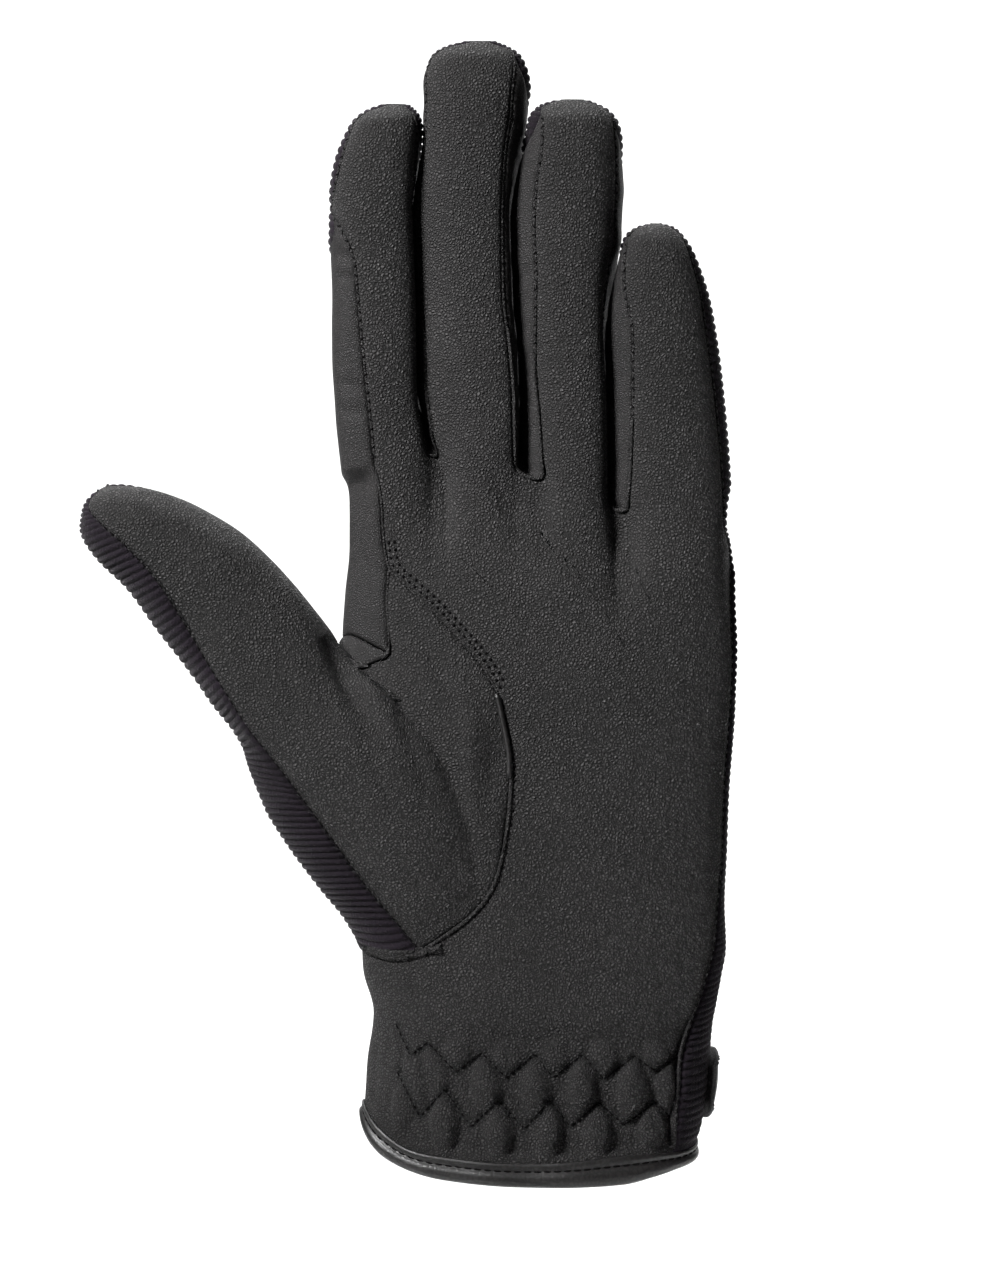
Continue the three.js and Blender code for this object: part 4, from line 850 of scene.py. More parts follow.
class Pattern:
    """The cut of the glove: its surfaces, and the seams that its panels share."""

    def __init__(self):
        self.fingers = [Finger(name) for name in FINGER_TABLES]
        self.index = self.fingers[0]
        self.hand = Hand(self.fingers)
        self.thumb = Thumb()
        self.length, self.width = size("hand_length"), size("hand_width")
        left = self.hand.spots(PALM_SEAM_LEFT)
        left[:, 0] = np.where(left[:, 0] > 180, left[:, 0] - 360, left[:, 0])
        left[0, 1] = hem_at(left[0, 0], 1)
        top = self.top_border("front", 8)
        self.left_rows = np.concatenate([left, [[top[0][0], top[1][0]]]])
        self.left_stops = stops_by(self.left_rows * (1, self.length))
        self.palm_left = run_through(self.left_rows, self.left_stops)
        right = np.concatenate([self.hand.spots(PALM_SEAM_RIGHT), [[top[0][-1], top[1][-1]]]])
        self.palm_right = run_through(right, stops_by(right * (1, self.length)))
        self.side_panel_lines()
        self.back_lines()

    def top_border(self, side, columns, gap=6):
        """The line of finger bases as turns, heights and points; gap points cross each crotch."""
        turns, points = [], []
        fingers = self.fingers if side == "front" else self.fingers[::-1]
        for i, finger in enumerate(fingers):
            row = self.finger_turns(finger, np.zeros(1), side, columns)[0]
            if i:
                before = fingers[i - 1]
                if side == "front":
                    start = before.section(0)["front_right"]
                    end = -finger.section(0)["front_left"]
                    bridge = crotch_bridge(before, finger, start, end, gap)
                else:
                    bridge = crotch_bridge(finger, before, BACK_SEAM_TURN, 360 - BACK_SEAM_TURN, gap)[::-1]
                points.append(bridge.reshape(-1, 3))
                turns.append(np.full(gap, np.nan))
            points.append(finger.point(0, row))
            turns.append(row)
        points = np.concatenate(points)
        up = points[:, 2] / self.length
        finger_turn = np.concatenate(turns)
        face = np.where(np.cos(np.radians(finger_turn)) > 0, 1, -1 if side == "back" else 1)
        turn = self.hand.turn_at(points[:, 0], up, face)
        if side == "back":
            turn = np.where(turn < 0, turn + 360, turn)
        return turn, up, points

    def finger_turns(self, finger, t, side, columns):
        """Rows of turns across the front or back panel of a finger."""
        section = finger.section(t)
        if side == "front":
            return turns_between(-section["front_left"], section["front_right"], columns)
        start = back_right_turn(finger, section, t)
        start = np.broadcast_to(start, t.shape)
        return turns_between(start, 360 - back_left_turn(finger, section, t), columns)

    def finger_grid(self, finger, side, columns, rows):
        """Points of the front or back panel of a finger, with its closed tip."""
        t = shares(rows)
        turns = self.finger_turns(finger, t, side, columns)
        return with_tip(finger, finger.point(t[:, None], turns), turns)

    def nest(self, points):
        """Leans the slots between the fingers sideways half way through, so that no light passes."""
        moved = np.array(points, float)
        x, y, z = moved.T
        depth = size("finger_depth") / 2
        for left, right in zip(self.fingers, self.fingers[1:]):
            foot = left.base[1] * self.length
            top = min(left.tip, right.tip) * self.length
            up = z / self.length
            start = np.interp(up, left.rows[:, 0], left.rows[:, 2]) * self.width
            end = np.interp(up, right.rows[:, 0], right.rows[:, 1]) * self.width
            middle = (start + end) / 2
            near = np.exp(-((x - middle) / SLOT_REACH) ** 2)
            rise = np.clip((z - foot) / (top - foot), 0, 1)
            inward = np.abs(y + size("fingertip_curl") * rise**2) / depth
            deep = np.cos(np.pi / 2 * np.clip(inward, 0, 1))
            lean = deep**2 * ease((z - foot + 5) / 7) * ease((top - z) / 26)
            half = (end - start) / 2
            swell = np.clip(half - SLOT_CLEARANCE, 0, SLOT_SWELL) * (1 - ease((half - SLOT_SWELL) / 1.2))
            swell = swell * deep * ease((z - foot + 5) / 5) * ease((top - z) / 6)
            web = np.cos(np.pi / 2 * np.clip(inward * 1.9, 0, 1)) ** 2
            web = web * ease((z - foot + 6) / 6) * ease(1 - (z - foot) / 20)
            moved[:, 0] += swell * near * np.tanh((middle - x) / 0.4)
            moved[:, 0] -= (np.clip(end - start, 0, 3) + SLOT_LEAN) * lean * near
            moved[:, 2] += SLOT_WEB * web * near
        return moved

    def free_of_hem(self, points):
        """How far panels are free of the hem band: 0 under its top, rising to 1 above it."""
        centre, half, depth = self.hand.section(points[:, 2] / self.length)
        x, y = points[:, 0] - centre, -points[:, 1]
        side = np.sign(x) * np.clip(np.abs(x) / half, 0, 1) ** (SECTION_POWER / 2)
        front = np.sign(y) * np.clip(np.abs(y) / depth, 0, 1) ** (SECTION_POWER / 2)
        turn = np.degrees(np.arctan2(side, front))
        return ease((points[:, 2] - hem_at(turn, 1) * self.length) / HEM_RUN_OUT)

    def side_panel_lines(self):
        """Front and back edges of the index side panel over the edge of the hand."""
        front = np.concatenate([self.left_rows[THUMB_PEAK_ROW:][::-1], self.hand.spots(SIDE_SEAM_END)])
        self.side_front = run_through(front, np.linspace(0, 1, len(front)))
        end_across, end_up = THUMB_BASE[0][4:]
        end = self.hand.spots([(end_across, end_up, -1)])[0]
        top_point = self.index.point(0, np.array(-BACK_SEAM_TURN))
        top_up = top_point[2] / self.length
        top_turn = float(self.hand.turn_at(top_point[0], top_up, -1))
        top_turn += 360 if top_turn < 0 else 0
        self.side_back_ends = np.array([[top_turn, top_up], end])

    def side_rows(self, v, columns):
        """Points of the side panel over the hand at shares v of its length."""
        v = np.asarray(v)[:, None]
        front = self.side_front(v[:, 0])[:, None]
        back = lerp(self.side_back_ends[0], self.side_back_ends[1], v)[:, None]
        share = shares(columns)[None]
        arch = SIDE_PANEL_ARCH * v**2 * np.sin(np.pi * share)
        turn = lerp(back[..., 0] - 360, front[..., 0], share)
        up = lerp(back[..., 1], front[..., 1], share) + arch
        return self.hand.point(turn, up)

    def back_lines(self):
        """Side borders of the back panel."""
        wrist = self.left_rows[:WRIST_SEAM_ROW + 1] + (360, 0)
        thumb = self.hand.spots([(row[4], row[5], -1) for row in THUMB_BASE[1:]][::-1])
        side = lerp(self.side_back_ends[0], self.side_back_ends[1], np.linspace(0, 1, 7)[1:, None])[::-1]
        turn, up, _ = self.top_border("back", 8)
        rows = np.concatenate([wrist, thumb, side, [[turn[-1], up[-1]]]])
        self.back_left = run_through(rows, stops_by(rows * (1, self.length)))

    def fill_hand(self, left, right, top, rows):
        """Points of a hand panel between its side borders, the hem and the finger bases."""
        turn, up, points = top
        v = shares(rows)[:, None]
        column = np.linspace(0, 1, len(turn))[None]
        u = lerp(column, ((turn - turn[0]) / (turn[-1] - turn[0]))[None], v)
        start, end = left(v[:, 0])[:, None], right(v[:, 0])[:, None]
        hem_turn = lerp(start[0, 0, 0], end[0, 0, 0], u)
        floor = np.stack([hem_turn, lerp(hem_at(hem_turn, 2), hem_at(hem_turn, 1), HEM_TUCK)], -1)
        cap = np.stack([turn, up], -1)[None]
        u = u[..., None]
        low = floor - lerp(start[0], end[0], u)
        high = cap - lerp(cap[:, :1], cap[:, -1:], u)
        v = v[..., None]
        value = lerp(start, end, u) + low * (1 - v) ** BORDER_FADE + high * v**BORDER_FADE
        made = self.hand.point(value[..., 0], value[..., 1])
        made[-1] = points
        return made


def smooth_knuckles(skin, pattern, reach=7.0, rounds=14):
    """Takes the hard fold out of the line where the fingers start."""
    across, ups = np.array(pattern.hand.crotches).T
    line = np.interp(skin.points[:, 0] / pattern.width, across, ups) * pattern.length
    near = 1 - np.abs(skin.points[:, 2] - line) / reach
    inside = skin.points[:, 0] > across[0] * pattern.width - 4
    skin.smooth(np.clip(near, 0, 1) * SMOOTHING * inside, rounds)


def ribs_in(length):
    """How many ribs the cloth has over a length in millimetres."""
    return int(round(length / size("rib_pitch")))


RIB_ROWS = 5
RIB_ROUNDNESS = 0.6


def rib_heights(rows):
    """Height share of the ribs on each row of a grid."""
    return np.abs(np.sin(np.pi * np.arange(rows) / RIB_ROWS)) ** RIB_ROUNDNESS


def leather_panel(skin, near, name, kind, slot, stands_for, wall=None, groove=None):
    """Closes a skin into a leather piece; near is each point's share of the way in from its rim."""
    # The groove mark darkens the leather's colour: painted shade in the stitch grooves.
    marks = {"edge": 1 - near, "groove": np.zeros(len(near)) if groove is None else groove}
    return place(skin.solid(name, wall or size("leather_wall"), leather(kind), marks), slot, stands_for)


def cloth_panel(skin, near, name, stands_for):
    """Closes a skin into a ribbed cloth piece."""
    # The rib mark also drives the painted shade in the rib valleys of the cloth's colour.
    marks = {"edge": 1 - near, "rib": skin.rib}
    return place(skin.solid(name, size("cloth_wall"), cloth(), marks), "ribbed_cloth", stands_for)


def palm_panel():
    """The palm with the fronts of the fingers, its folds, and the gathers of the cuff."""
    pattern = Pattern()
    skin = Skin()
    columns = 28
    top = pattern.top_border("front", columns)
    skin.grid(pattern.fill_hand(pattern.palm_left, pattern.palm_right, top, rows=230))
    for finger in pattern.fingers:
        skin.grid(pattern.finger_grid(finger, "front", columns, rows=105))
    skin.join(pattern)
    smooth_knuckles(skin, pattern)
    roll, near = edge_roll(skin, drop=0.55, reach=1.3)
    puffs, groove = gathers(skin)
    free = pattern.free_of_hem(skin.points)
    cuff = ease((skin.points[:, 2] / pattern.length - 0.1) / 0.1)
    slow = waves(skin.points * (1, 1, 0.7), pitch=34, seed=3) * 0.22 * cuff
    fine = waves(skin.points, pitch=9, seed=5) * 0.05
    skin.raise_by(roll * lerp(0.3, 1, free) + (puffs + folds(skin, PALM_FOLDS) + slow + fine) * free)
    # groove carries the painted shade along the elastic's stitch grooves.
    return leather_panel(
        skin, near, "palm_leather", "palm_leather", "grained_leather", "palm_panel", groove=groove)


def index_side_panel():
    """The smooth leather down the outer side of the index finger and on to the thumb's crotch."""
    pattern = Pattern()
    index = pattern.index
    columns = 20
    skin = Skin()
    t = np.linspace(0, 1, 401)
    top = t[index.section(t)["up"] <= SIDE_PANEL_TOP][-1]
    t = np.linspace(0, top, 90)
    section = index.section(t)
    turns = turns_between(-back_left_turn(index, section, t), -section["front_left"], columns)
    skin.grid(index.point(t[:, None], turns))
    hand_rows = pattern.side_rows(shares(50)[1:], columns)[::-1]
    skin.grid(np.concatenate([hand_rows, index.point(0, turns[0])[None]]))
    skin.join(pattern)
    smooth_knuckles(skin, pattern, reach=6, rounds=10)
    roll, near = edge_roll(skin, drop=0.5, reach=1.2)
    skin.raise_by(roll + folds(skin, SIDE_FOLDS) + waves(skin.points, pitch=11, seed=8) * 0.1)
    return leather_panel(
        skin, near, "index_side_leather", "smooth_leather", "smooth_leather", "index_side_panel")


def fourchette(pattern, left, right):
    """The strip between two fingers: down one, round the crotch and up the other."""
    columns, rows = 16, 90
    t = np.linspace(0, STRIP_END, rows)
    s_left, s_right = left.section(t), right.section(t)
    turns_left = turns_between(s_left["front_right"], back_right_turn(left, s_left, t), columns)
    turns_right = turns_between(-s_right["front_left"], -back_left_turn(right, s_right, t), columns)
    points_left = left.point(t[:, None], turns_left)
    points_right = right.point(t[:, None], turns_right)
    bridge = crotch_bridge(left, right, turns_left[0], turns_right[0], 10)
    skin = Skin()
    skin.grid(np.concatenate([points_right[::-1], bridge[::-1], points_left]))
    skin.join(pattern)
    roll, near = edge_roll(skin, drop=0.5, reach=1.1)
    skin.raise_by(roll + waves(skin.points, pitch=7, seed=11 + len(left.rows)) * 0.12)
    between = f"{left.name}_{right.name}"
    return leather_panel(
        skin, near, f"strip_{between}", "smooth_leather", "smooth_leather", f"fourchette_{between}")


THUMB_COLUMNS = 36
QUIRK_WALL = 0.8


def thumb_borders(pattern):
    """Shared edges of the thumb's base: crotch, rib seam, quirk, and seams to palm and side panel."""
    thumb = pattern.thumb
    zero = np.zeros(1)
    turns = turns_between(-thumb.seam_turn(zero), thumb.back_turn(zero), THUMB_COLUMNS)
    crotch = thumb.point(zero[:, None], turns)[0]

    def seam(first_row, last_row, count):
        """Points of the palm's thumb-side seam from one row of its table to another."""
        start, end = pattern.left_stops[[first_row, last_row]]
        return pattern.hand.point(*pattern.palm_left(np.linspace(start, end, count)).T)

    corner = seam(THUMB_BOTTOM_ROW, THUMB_BOTTOM_ROW, 1)[0]
    rib = [crotch[0]]
    for k, row in enumerate(THUMB_BASE):
        y = lerp(crotch[0][1], corner[1], (k + 1) / (len(THUMB_BASE) + 1))
        rib.append(np.array([row[0] * pattern.width, y, row[1] * pattern.length]))
    rib.append(corner)
    rib = np.array(rib)
    side = pattern.hand.point(*pattern.side_front(np.linspace(1, 0.5, 12)).T)
    across, up = THUMB_QUIRK
    quirk = np.array([across * pattern.width, lerp(crotch[-1][1], side[0][1], 0.6), up * pattern.length])
    return {"crotch": crotch, "rib": rib, "side": side, "quirk": quirk, "seam": seam}


def fill(top, bottom, left, right, swell):
    """Points between four borders; top and bottom run the same way, as do left and right."""
    u = shares(len(top) - 1)[None, :, None]
    v = shares(len(left) - 1)[:, None, None]
    made = (
        top[None] * (1 - v) + bottom[None] * v + left[:, None] * (1 - u) + right[:, None] * u
        - top[0] * (1 - u) * (1 - v) - top[-1] * u * (1 - v)
        - bottom[0] * (1 - u) * v - bottom[-1] * u * v
    )
    made[..., 1] -= swell * (np.sin(np.pi * u) * np.sin(np.pi * v))[..., 0]
    return made


def smooth_crotch(skin, pattern, reach=12.0, rounds=50):
    """Takes the hard fold out of the line where the free thumb starts."""
    left, right, _, _ = pattern.thumb.parts(np.zeros(1))
    _, gap = line_fade(skin.points[:, [0, 2]], np.concatenate([left, right]), 1.0)
    skin.smooth(np.clip(1.2 - gap / reach, 0, 1) * SMOOTHING, rounds)


def thumb_front():
    """The leather of the thumb's front and of the ball of the thumb."""
    pattern = Pattern()
    thumb = pattern.thumb
    borders = thumb_borders(pattern)
    t = shares(80)
    turns = turns_between(-thumb.seam_turn(t), thumb.back_turn(t), THUMB_COLUMNS)
    free = thumb.point(t[:, None], turns)
    skin = Skin()
    skin.grid(with_tip(thumb, free, turns))
    rest = resample([borders["crotch"][-1], borders["quirk"], *borders["side"]], 20)[1:]
    top = np.concatenate([free[0], rest])
    rows = 90
    left = run_through(borders["rib"], stops_by(borders["rib"]))(shares(rows))
    right = borders["seam"](THUMB_PEAK_ROW, THUMB_SIDE_ROW, rows + 1)
    bottom = borders["seam"](THUMB_BOTTOM_ROW, THUMB_SIDE_ROW, len(top))
    right[0], bottom[0], bottom[-1] = top[-1], left[-1], right[-1]
    skin.grid(fill(top, bottom, left, right, size("thenar_swell"))[::-1])
    skin.join(pattern)
    smooth_crotch(skin, pattern)
    roll, near = edge_roll(skin, drop=0.5, reach=1.3)
    fine = waves(skin.points * (1.2, 1, 0.8), pitch=9, seed=21) * 0.12
    slow = waves(skin.points, pitch=22, seed=23) * 0.25
    skin.raise_by(roll + folds(skin, THUMB_FOLDS) + (fine + slow))
    return leather_panel(skin, near, "thumb_leather", "palm_leather", "grained_leather", "thumb_front")


def thumb_back():
    """The ribbed cloth of the thumb's back, down to its foot at the wrist seam."""
    pattern = Pattern()
    thumb = pattern.thumb
    columns = 30
    borders = thumb_borders(pattern)
    free_length = path_length(thumb.point(shares(60), np.full(61, 270.0)))
    t = shares(ribs_in(free_length) * RIB_ROWS)
    turns = turns_between(thumb.back_turn(t), 360 - thumb.seam_turn(t), columns)
    free = thumb.point(t[:, None], turns)
    u = shares(columns)
    base_turns = turns[0]
    ridge_top = (270 - base_turns[0]) / (base_turns[-1] - base_turns[0])
    count = len(THUMB_BASE) + 1
    rows = []
    for k, spot in enumerate(THUMB_BASE):
        share = (k + 1) / count
        root = pattern.hand.point(*pattern.hand.spots([(spot[4], spot[5], -1)])[0])
        rib = borders["rib"][k + 1]
        forward = lerp(-size("thumb_forward"), 0, share)
        edge = np.array([spot[2] * pattern.width, forward, spot[3] * pattern.length])
        ridge = lerp(ridge_top, RIDGE_AT_FOOT, share)
        end = np.where((u <= ridge)[:, None], root, rib)
        swing = np.pi / 2 * np.where(u <= ridge, u / ridge, (1 - u) / (1 - ridge))
        row = lerp(end, edge, np.sin(swing)[:, None])
        row[:, 1] = lerp(edge[1], end[:, 1], np.cos(swing))
        rows.append(row)
    foot = resample(borders["seam"](WRIST_SEAM_ROW, THUMB_BOTTOM_ROW, 60), columns + 1)
    beyond = thumb.point(np.full(columns + 1, 0.12), base_turns)
    net = np.array([foot, *rows[::-1], free[0], beyond])
    steps = np.linalg.norm(np.diff(net, axis=0), axis=2).mean(1)
    stops = np.concatenate([[0], np.cumsum(steps)])
    base_length = path_length(net[:-1, int(ridge_top * columns)])
    rows_down = ribs_in(base_length) * RIB_ROWS
    base = run_through(net, stops)(np.linspace(0, stops[-2], rows_down + 1))
    base[-1] = free[0]
    skin = Skin()
    ribs = np.concatenate([rib_heights(len(t)), np.zeros(len(TIP_CAPS))])
    skin.grid(with_tip(thumb, free, turns), ribs[:, None])
    skin.grid(base, rib_heights(rows_down + 1)[:, None])
    skin.join(pattern)
    smooth_crotch(skin, pattern, reach=14, rounds=60)
    roll, near = edge_roll(skin, drop=0.5, reach=1.2)
    ribs = skin.rib * (1 - 0.7 * np.clip(1 - near, 0, 1))
    slow = waves(skin.points, pitch=24, seed=31) * 0.2
    skin.raise_by(roll + ribs * size("rib_height") + slow)
    return cloth_panel(skin, near, "thumb_cloth", "thumb_back")


def thumb_quirk():
    """The small leather gusset in the crotch of the thumb."""
    pattern = Pattern()
    borders = thumb_borders(pattern)
    top = pattern.side_rows(np.array([1.0]), 24)[0]
    corner = borders["crotch"][-1]
    foot = resample([top[0], corner, lerp(corner, borders["quirk"], 0.5), borders["quirk"], top[-1]], 25)
    skin = Skin()
    skin.grid(lerp(foot[None], top[None], shares(8)[:, None, None]))
    skin.join(pattern)
    reach = 1.0
    roll, _ = edge_roll(skin, drop=0.3, reach=reach)
    skin.raise_by(roll)
    near = skin.rim_distance(reach) / reach
    return leather_panel(
        skin, near, "thumb_quirk", "smooth_leather", "grained_leather", "thumb_gusset", wall=QUIRK_WALL)


def back_panel():
    """The ribbed cloth of the hand's back and of the backs of the fingers."""
    pattern = Pattern()
    columns = 11
    top = pattern.top_border("back", columns, gap=4)
    right = pattern.palm_right
    middle = len(top[0]) // 2
    trial = pattern.fill_hand(right, pattern.back_left, top, rows=60)
    rows = ribs_in(path_length(trial[:, middle])) * RIB_ROWS
    skin = Skin()
    skin.grid(pattern.fill_hand(right, pattern.back_left, top, rows), rib_heights(rows + 1)[:, None])
    for finger in pattern.fingers:
        length = path_length(finger.point(shares(60), np.full(61, 180.0)))
        rows = ribs_in(length) * RIB_ROWS
        points = pattern.finger_grid(finger, "back", columns, rows)
        ribs = np.concatenate([rib_heights(rows + 1), np.zeros(len(TIP_CAPS))])
        skin.grid(points, ribs[:, None])
    skin.join(pattern)
    smooth_knuckles(skin, pattern, reach=9, rounds=20)
    roll, near = edge_roll(skin, drop=0.5, reach=1.3)
    ribs = skin.rib * (1 - 0.75 * np.clip(1 - near, 0, 1))
    free = pattern.free_of_hem(skin.points)
    soft = waves(skin.points * (1, 1, 0.8), pitch=30, seed=41) * 0.25 + back_gathers(skin, pattern)
    skin.raise_by(roll * lerp(0.3, 1, free) + (ribs * size("rib_height") + soft) * free)
    return cloth_panel(skin, near, "back_cloth", "back_panel")


def back_gathers(skin, pattern):
    """Soft upright folds where the back of the cuff is drawn in."""
    up = skin.points[:, 2] / pattern.length
    band = ease((0.17 - up) / 0.05)
    turn = np.arctan2(skin.points[:, 0], skin.points[:, 1])
    return band * 0.35 * np.cos(turn * 17) * np.clip(skin.normals()[:, 1] + 0.3, 0, 1)


# The hem band's section, a U round the panels' edges: millimetres out, share of its height.
BAND_PROFILE = [
    (-1.9, 0.06), (-1.9, 0.35), (-1.9, 0.7), (-1.85, 1.0), (-1.65, 1.06), (-1.5, 1.0), (-1.45, 0.7),
    (-1.4, 0.4), (-0.7, 0.36), (0.02, 0.4), (0.03, 0.7), (0.05, 1.04), (0.2, 1.12), (0.45, 1.08),
    (0.5, 0.95), (0.42, 0.83), (0.18, 0.74), (0.5, 0.66), (0.85, 0.55), (1.0, 0.4), (0.95, 0.25),
    (0.7, 0.12), (0.3, 0.03), (-0.4, 0.0), (-1.3, 0.0),
]
BAND_STITCH_PLACE = 0.74


def band_waves(pattern, turns):
    """How far the hem band stands out or in at turns round it, in millimetres."""
    return waves(pattern.hand.point(turns, hem_at(turns, 1)), pitch=16, seed=51) * 0.25


def hem_band():
    """The smooth leather binding of the hem, a closed ring of one section."""
    pattern = Pattern()
    count = 300
    turns = np.linspace(-180, 180, count + 1)[:-1]
    profile = np.array(BAND_PROFILE)[::-1]
    top, foot = hem_at(turns, 1), hem_at(turns, 2)
    up = foot[:, None] + (top - foot)[:, None] * profile[:, 1]
    turn = np.broadcast_to(turns[:, None], up.shape)
    ring = pattern.hand.point(turn, up)
    out = profile[:, 0] + np.where(profile[:, 0] > -1, band_waves(pattern, turns)[:, None], 0)
    ring = ring + pattern.hand.normal(turn, up) * out[..., None]
    index = np.arange(ring.shape[0] * ring.shape[1]).reshape(ring.shape[:2])
    index = np.concatenate([index, index[:1]])
    index = np.concatenate([index, index[:, :1]], 1)
    faces = grid_quads(index)[:, ::-1]
    made = mesh_object("hem_band", ring.reshape(-1, 3) * 0.001, [faces], leather("band_leather"))
    for key in ("edge", "groove"):
        made.data.attributes.new(key, "FLOAT", "POINT")
    return place(made, "piping_leather", "hem_binding")


TAB_TURNS = (79, 205)
TAB_HEIGHTS = (0.056, 0.119)
TAB_LIFT = 0.4
TAB_THICKNESS = 2.0


def tab_point(pattern, u, v, out):
    """A point on the wrist tab: u from its free end round the back, v from foot to top."""
    middle = sum(TAB_HEIGHTS) / 2
    round_off = np.sqrt(1 - np.maximum(0, 1 - np.minimum(u, 1 - u) * 5) ** 2 * 0.75)
    up = middle + (v - 0.5) * (TAB_HEIGHTS[1] - TAB_HEIGHTS[0]) * round_off
    turn = lerp(*TAB_TURNS, u)
    return pattern.hand.point(turn, up) + pattern.hand.normal(turn, up) * np.asarray(out)[..., None]


def wrist_tab():
    """The strap on the back of the wrist."""
    pattern = Pattern()
    u, v = np.meshgrid(shares(110), shares(26))
    skin = Skin()
    skin.grid(tab_point(pattern, u, v, np.full(u.shape, TAB_LIFT + TAB_THICKNESS)))
    skin.join(pattern)
    reach = 1.4
    roll, near = edge_roll(skin, drop=0.45, reach=reach)
    stitched = np.exp(-((near * reach - 1.25) / 0.22) ** 2) * 0.2
    skin.raise_by(roll - stitched + waves(skin.points, pitch=12, seed=61) * 0.1)
    return leather_panel(
        skin, near, "wrist_tab", "smooth_leather", "smooth_leather", "closure_tab", wall=TAB_THICKNESS)


def finger_seam(pattern, finger, turn_key, start=0.02, end=0.95, count=80):
    """Points and outward directions along one seam of a finger."""
    t = np.linspace(start, end, count)
    s = finger.section(t)
    turn = {
        "front_left": -s["front_left"], "front_right": s["front_right"],
        "back_left": -np.broadcast_to(back_left_turn(finger, s, t), t.shape),
        "back_right": np.broadcast_to(back_right_turn(finger, s, t), t.shape),
    }[turn_key]
    points = pattern.nest(finger.point(t, turn))
    sine, cosine = np.sin(np.radians(turn)), np.cos(np.radians(turn))
    return points, unit(np.stack([sine * 0.9, -cosine, np.zeros(count)], 1))


def hand_seam(pattern, run, start, end, count):
    """Points and outward directions along a stretch of a seam on the hand."""
    turn, up = run(np.linspace(start, end, count)).T
    return pattern.hand.point(turn, up), pattern.hand.normal(turn, up)


def thumb_seam(pattern, side, start=0.0, end=0.93, count=60):
    """Points and outward directions along one seam of the free thumb."""
    t = np.linspace(start, end, count)
    thumb = pattern.thumb
    turn = -thumb.seam_turn(t) if side == "rib" else thumb.back_turn(t)
    points = thumb.point(t, turn)
    left, right, _, _ = thumb.parts(t)
    edge = unit(right - left)
    s, c = np.sin(np.radians(turn)), np.cos(np.radians(turn))
    return points, unit(np.stack([edge[:, 0] * s, -c, edge[:, 1] * s], 1))


def rib_seam_base(pattern):
    """Points and outward directions of the seam between leather and ribs below the free thumb."""
    borders = thumb_borders(pattern)
    points = run_through(borders["rib"], stops_by(borders["rib"]))(shares(60))
    return points, unit(np.tile([-0.75, -0.6, -0.2], (len(points), 1)))


def round_body(rings, ends):
    """Corners and faces of a closed round body from its rings of corners and its two end points."""
    count, sides = rings.shape[:2]
    index = np.arange(count * sides).reshape(count, sides)
    index = np.concatenate([index, index[:, :1]], 1)
    first, last = count * sides, count * sides + 1
    tris = [(index[0, k + 1], index[0, k], first) for k in range(sides)]
    tris += [(index[-1, k], index[-1, k + 1], last) for k in range(sides)]
    return np.concatenate([rings.reshape(-1, 3), ends]), grid_quads(index), np.array(tris)


def tube(points, out, radius, lift, sides=8):
    """Corners and faces of a round cord along points, lifted outwards."""
    points = points + out * lift
    along = unit(np.gradient(points, axis=0))
    across = unit(np.cross(along, out))
    up = np.cross(across, along)
    angle = np.arange(sides) * 2 * np.pi / sides
    number = np.arange(len(points))
    taper = np.minimum(1, np.minimum(number, number[::-1]) / 3 + 0.2)
    ring = np.cos(angle)[None, :, None] * across[:, None] + np.sin(angle)[None, :, None] * up[:, None]
    return round_body(points[:, None] + ring * radius * taper[:, None, None], points[[0, -1]])


# A stitch from end to end: place along its length, share of the thread's width.
STITCH_RINGS = [(-0.5, 0.35), (-0.38, 0.8), (-0.15, 1.0), (0.15, 1.0), (0.38, 0.8), (0.5, 0.35)]
STITCH_SIDES = 6
STITCH_DIVE = 1.1


def stitch(middle, along, out, length, radius):
    """Corners and faces of one stitch, bowed so that its ends dive in."""
    across = unit(np.cross(along, out))
    up = np.cross(across, along)
    angle = np.arange(STITCH_SIDES) * 2 * np.pi / STITCH_SIDES
    round_it = np.cos(angle)[:, None] * across + np.sin(angle)[:, None] * up
    rings = []
    for place_along, wide in STITCH_RINGS:
        dive = (2 * place_along) ** 2 * radius * STITCH_DIVE
        rings.append(middle + along * place_along * length - out * dive + round_it * radius * wide)
    return round_body(np.array(rings), [rings[0].mean(0), rings[-1].mean(0)])


def sew(points, out, pitch, fill_share, lift=0.0, slant=0.0):
    """Stitches along a line; slant turns each one off the line, every second one the other way."""
    lengths = np.concatenate([[0], np.cumsum(np.linalg.norm(np.diff(points, axis=0), axis=1))])

    def at(values, place_at):
        return np.array([np.interp(place_at, lengths, values[:, k]) for k in range(3)])

    made = []
    for number, place_at in enumerate(np.arange(pitch / 2, lengths[-1], pitch)):
        normal = unit(at(out, place_at))
        along = unit(at(points, place_at + pitch / 2) - at(points, place_at - pitch / 2))
        across = unit(np.cross(along, normal))
        way = unit(along + across * slant * (1 if number % 2 else -1))
        middle = at(points, place_at) + normal * lift
        made.append(stitch(middle, way, normal, pitch * fill_share, size("thread_width") / 2))
    return made


def bundle(name, parts, material):
    """One object of many closed bodies."""
    points, quads, tris, start = [], [], [], 0
    for body_points, body_quads, body_tris in parts:
        points.append(body_points)
        quads.append(body_quads + start)
        tris.append(body_tris + start)
        start += len(body_points)
    faces = [np.concatenate(quads), np.concatenate(tris)]
    return mesh_object(name, np.concatenate(points) * 0.001, faces, material)


def surface_line(name, line, spacing):
    """A broken line of the palm side (x, z) laid on a piece's surface, with its outward directions."""
    mesh = bpy.data.objects[name].data
    tree = BVHTree.FromPolygons([v.co[:] for v in mesh.vertices], [p.vertices[:] for p in mesh.polygons])
    flat = resample(line, max(2, int(path_length(line) / spacing)))
    points, out = [], []
    for x, z in flat:
        hit, normal, _, _ = tree.ray_cast(Vector((x * 0.001, -0.08, z * 0.001)), Vector((0, 1, 0)))
        if hit is not None:
            normal = normal if normal.y < 0 else -normal
            points.append(np.array(hit) * 1000)
            out.append(np.array(normal))
    return np.array(points), np.array(out)


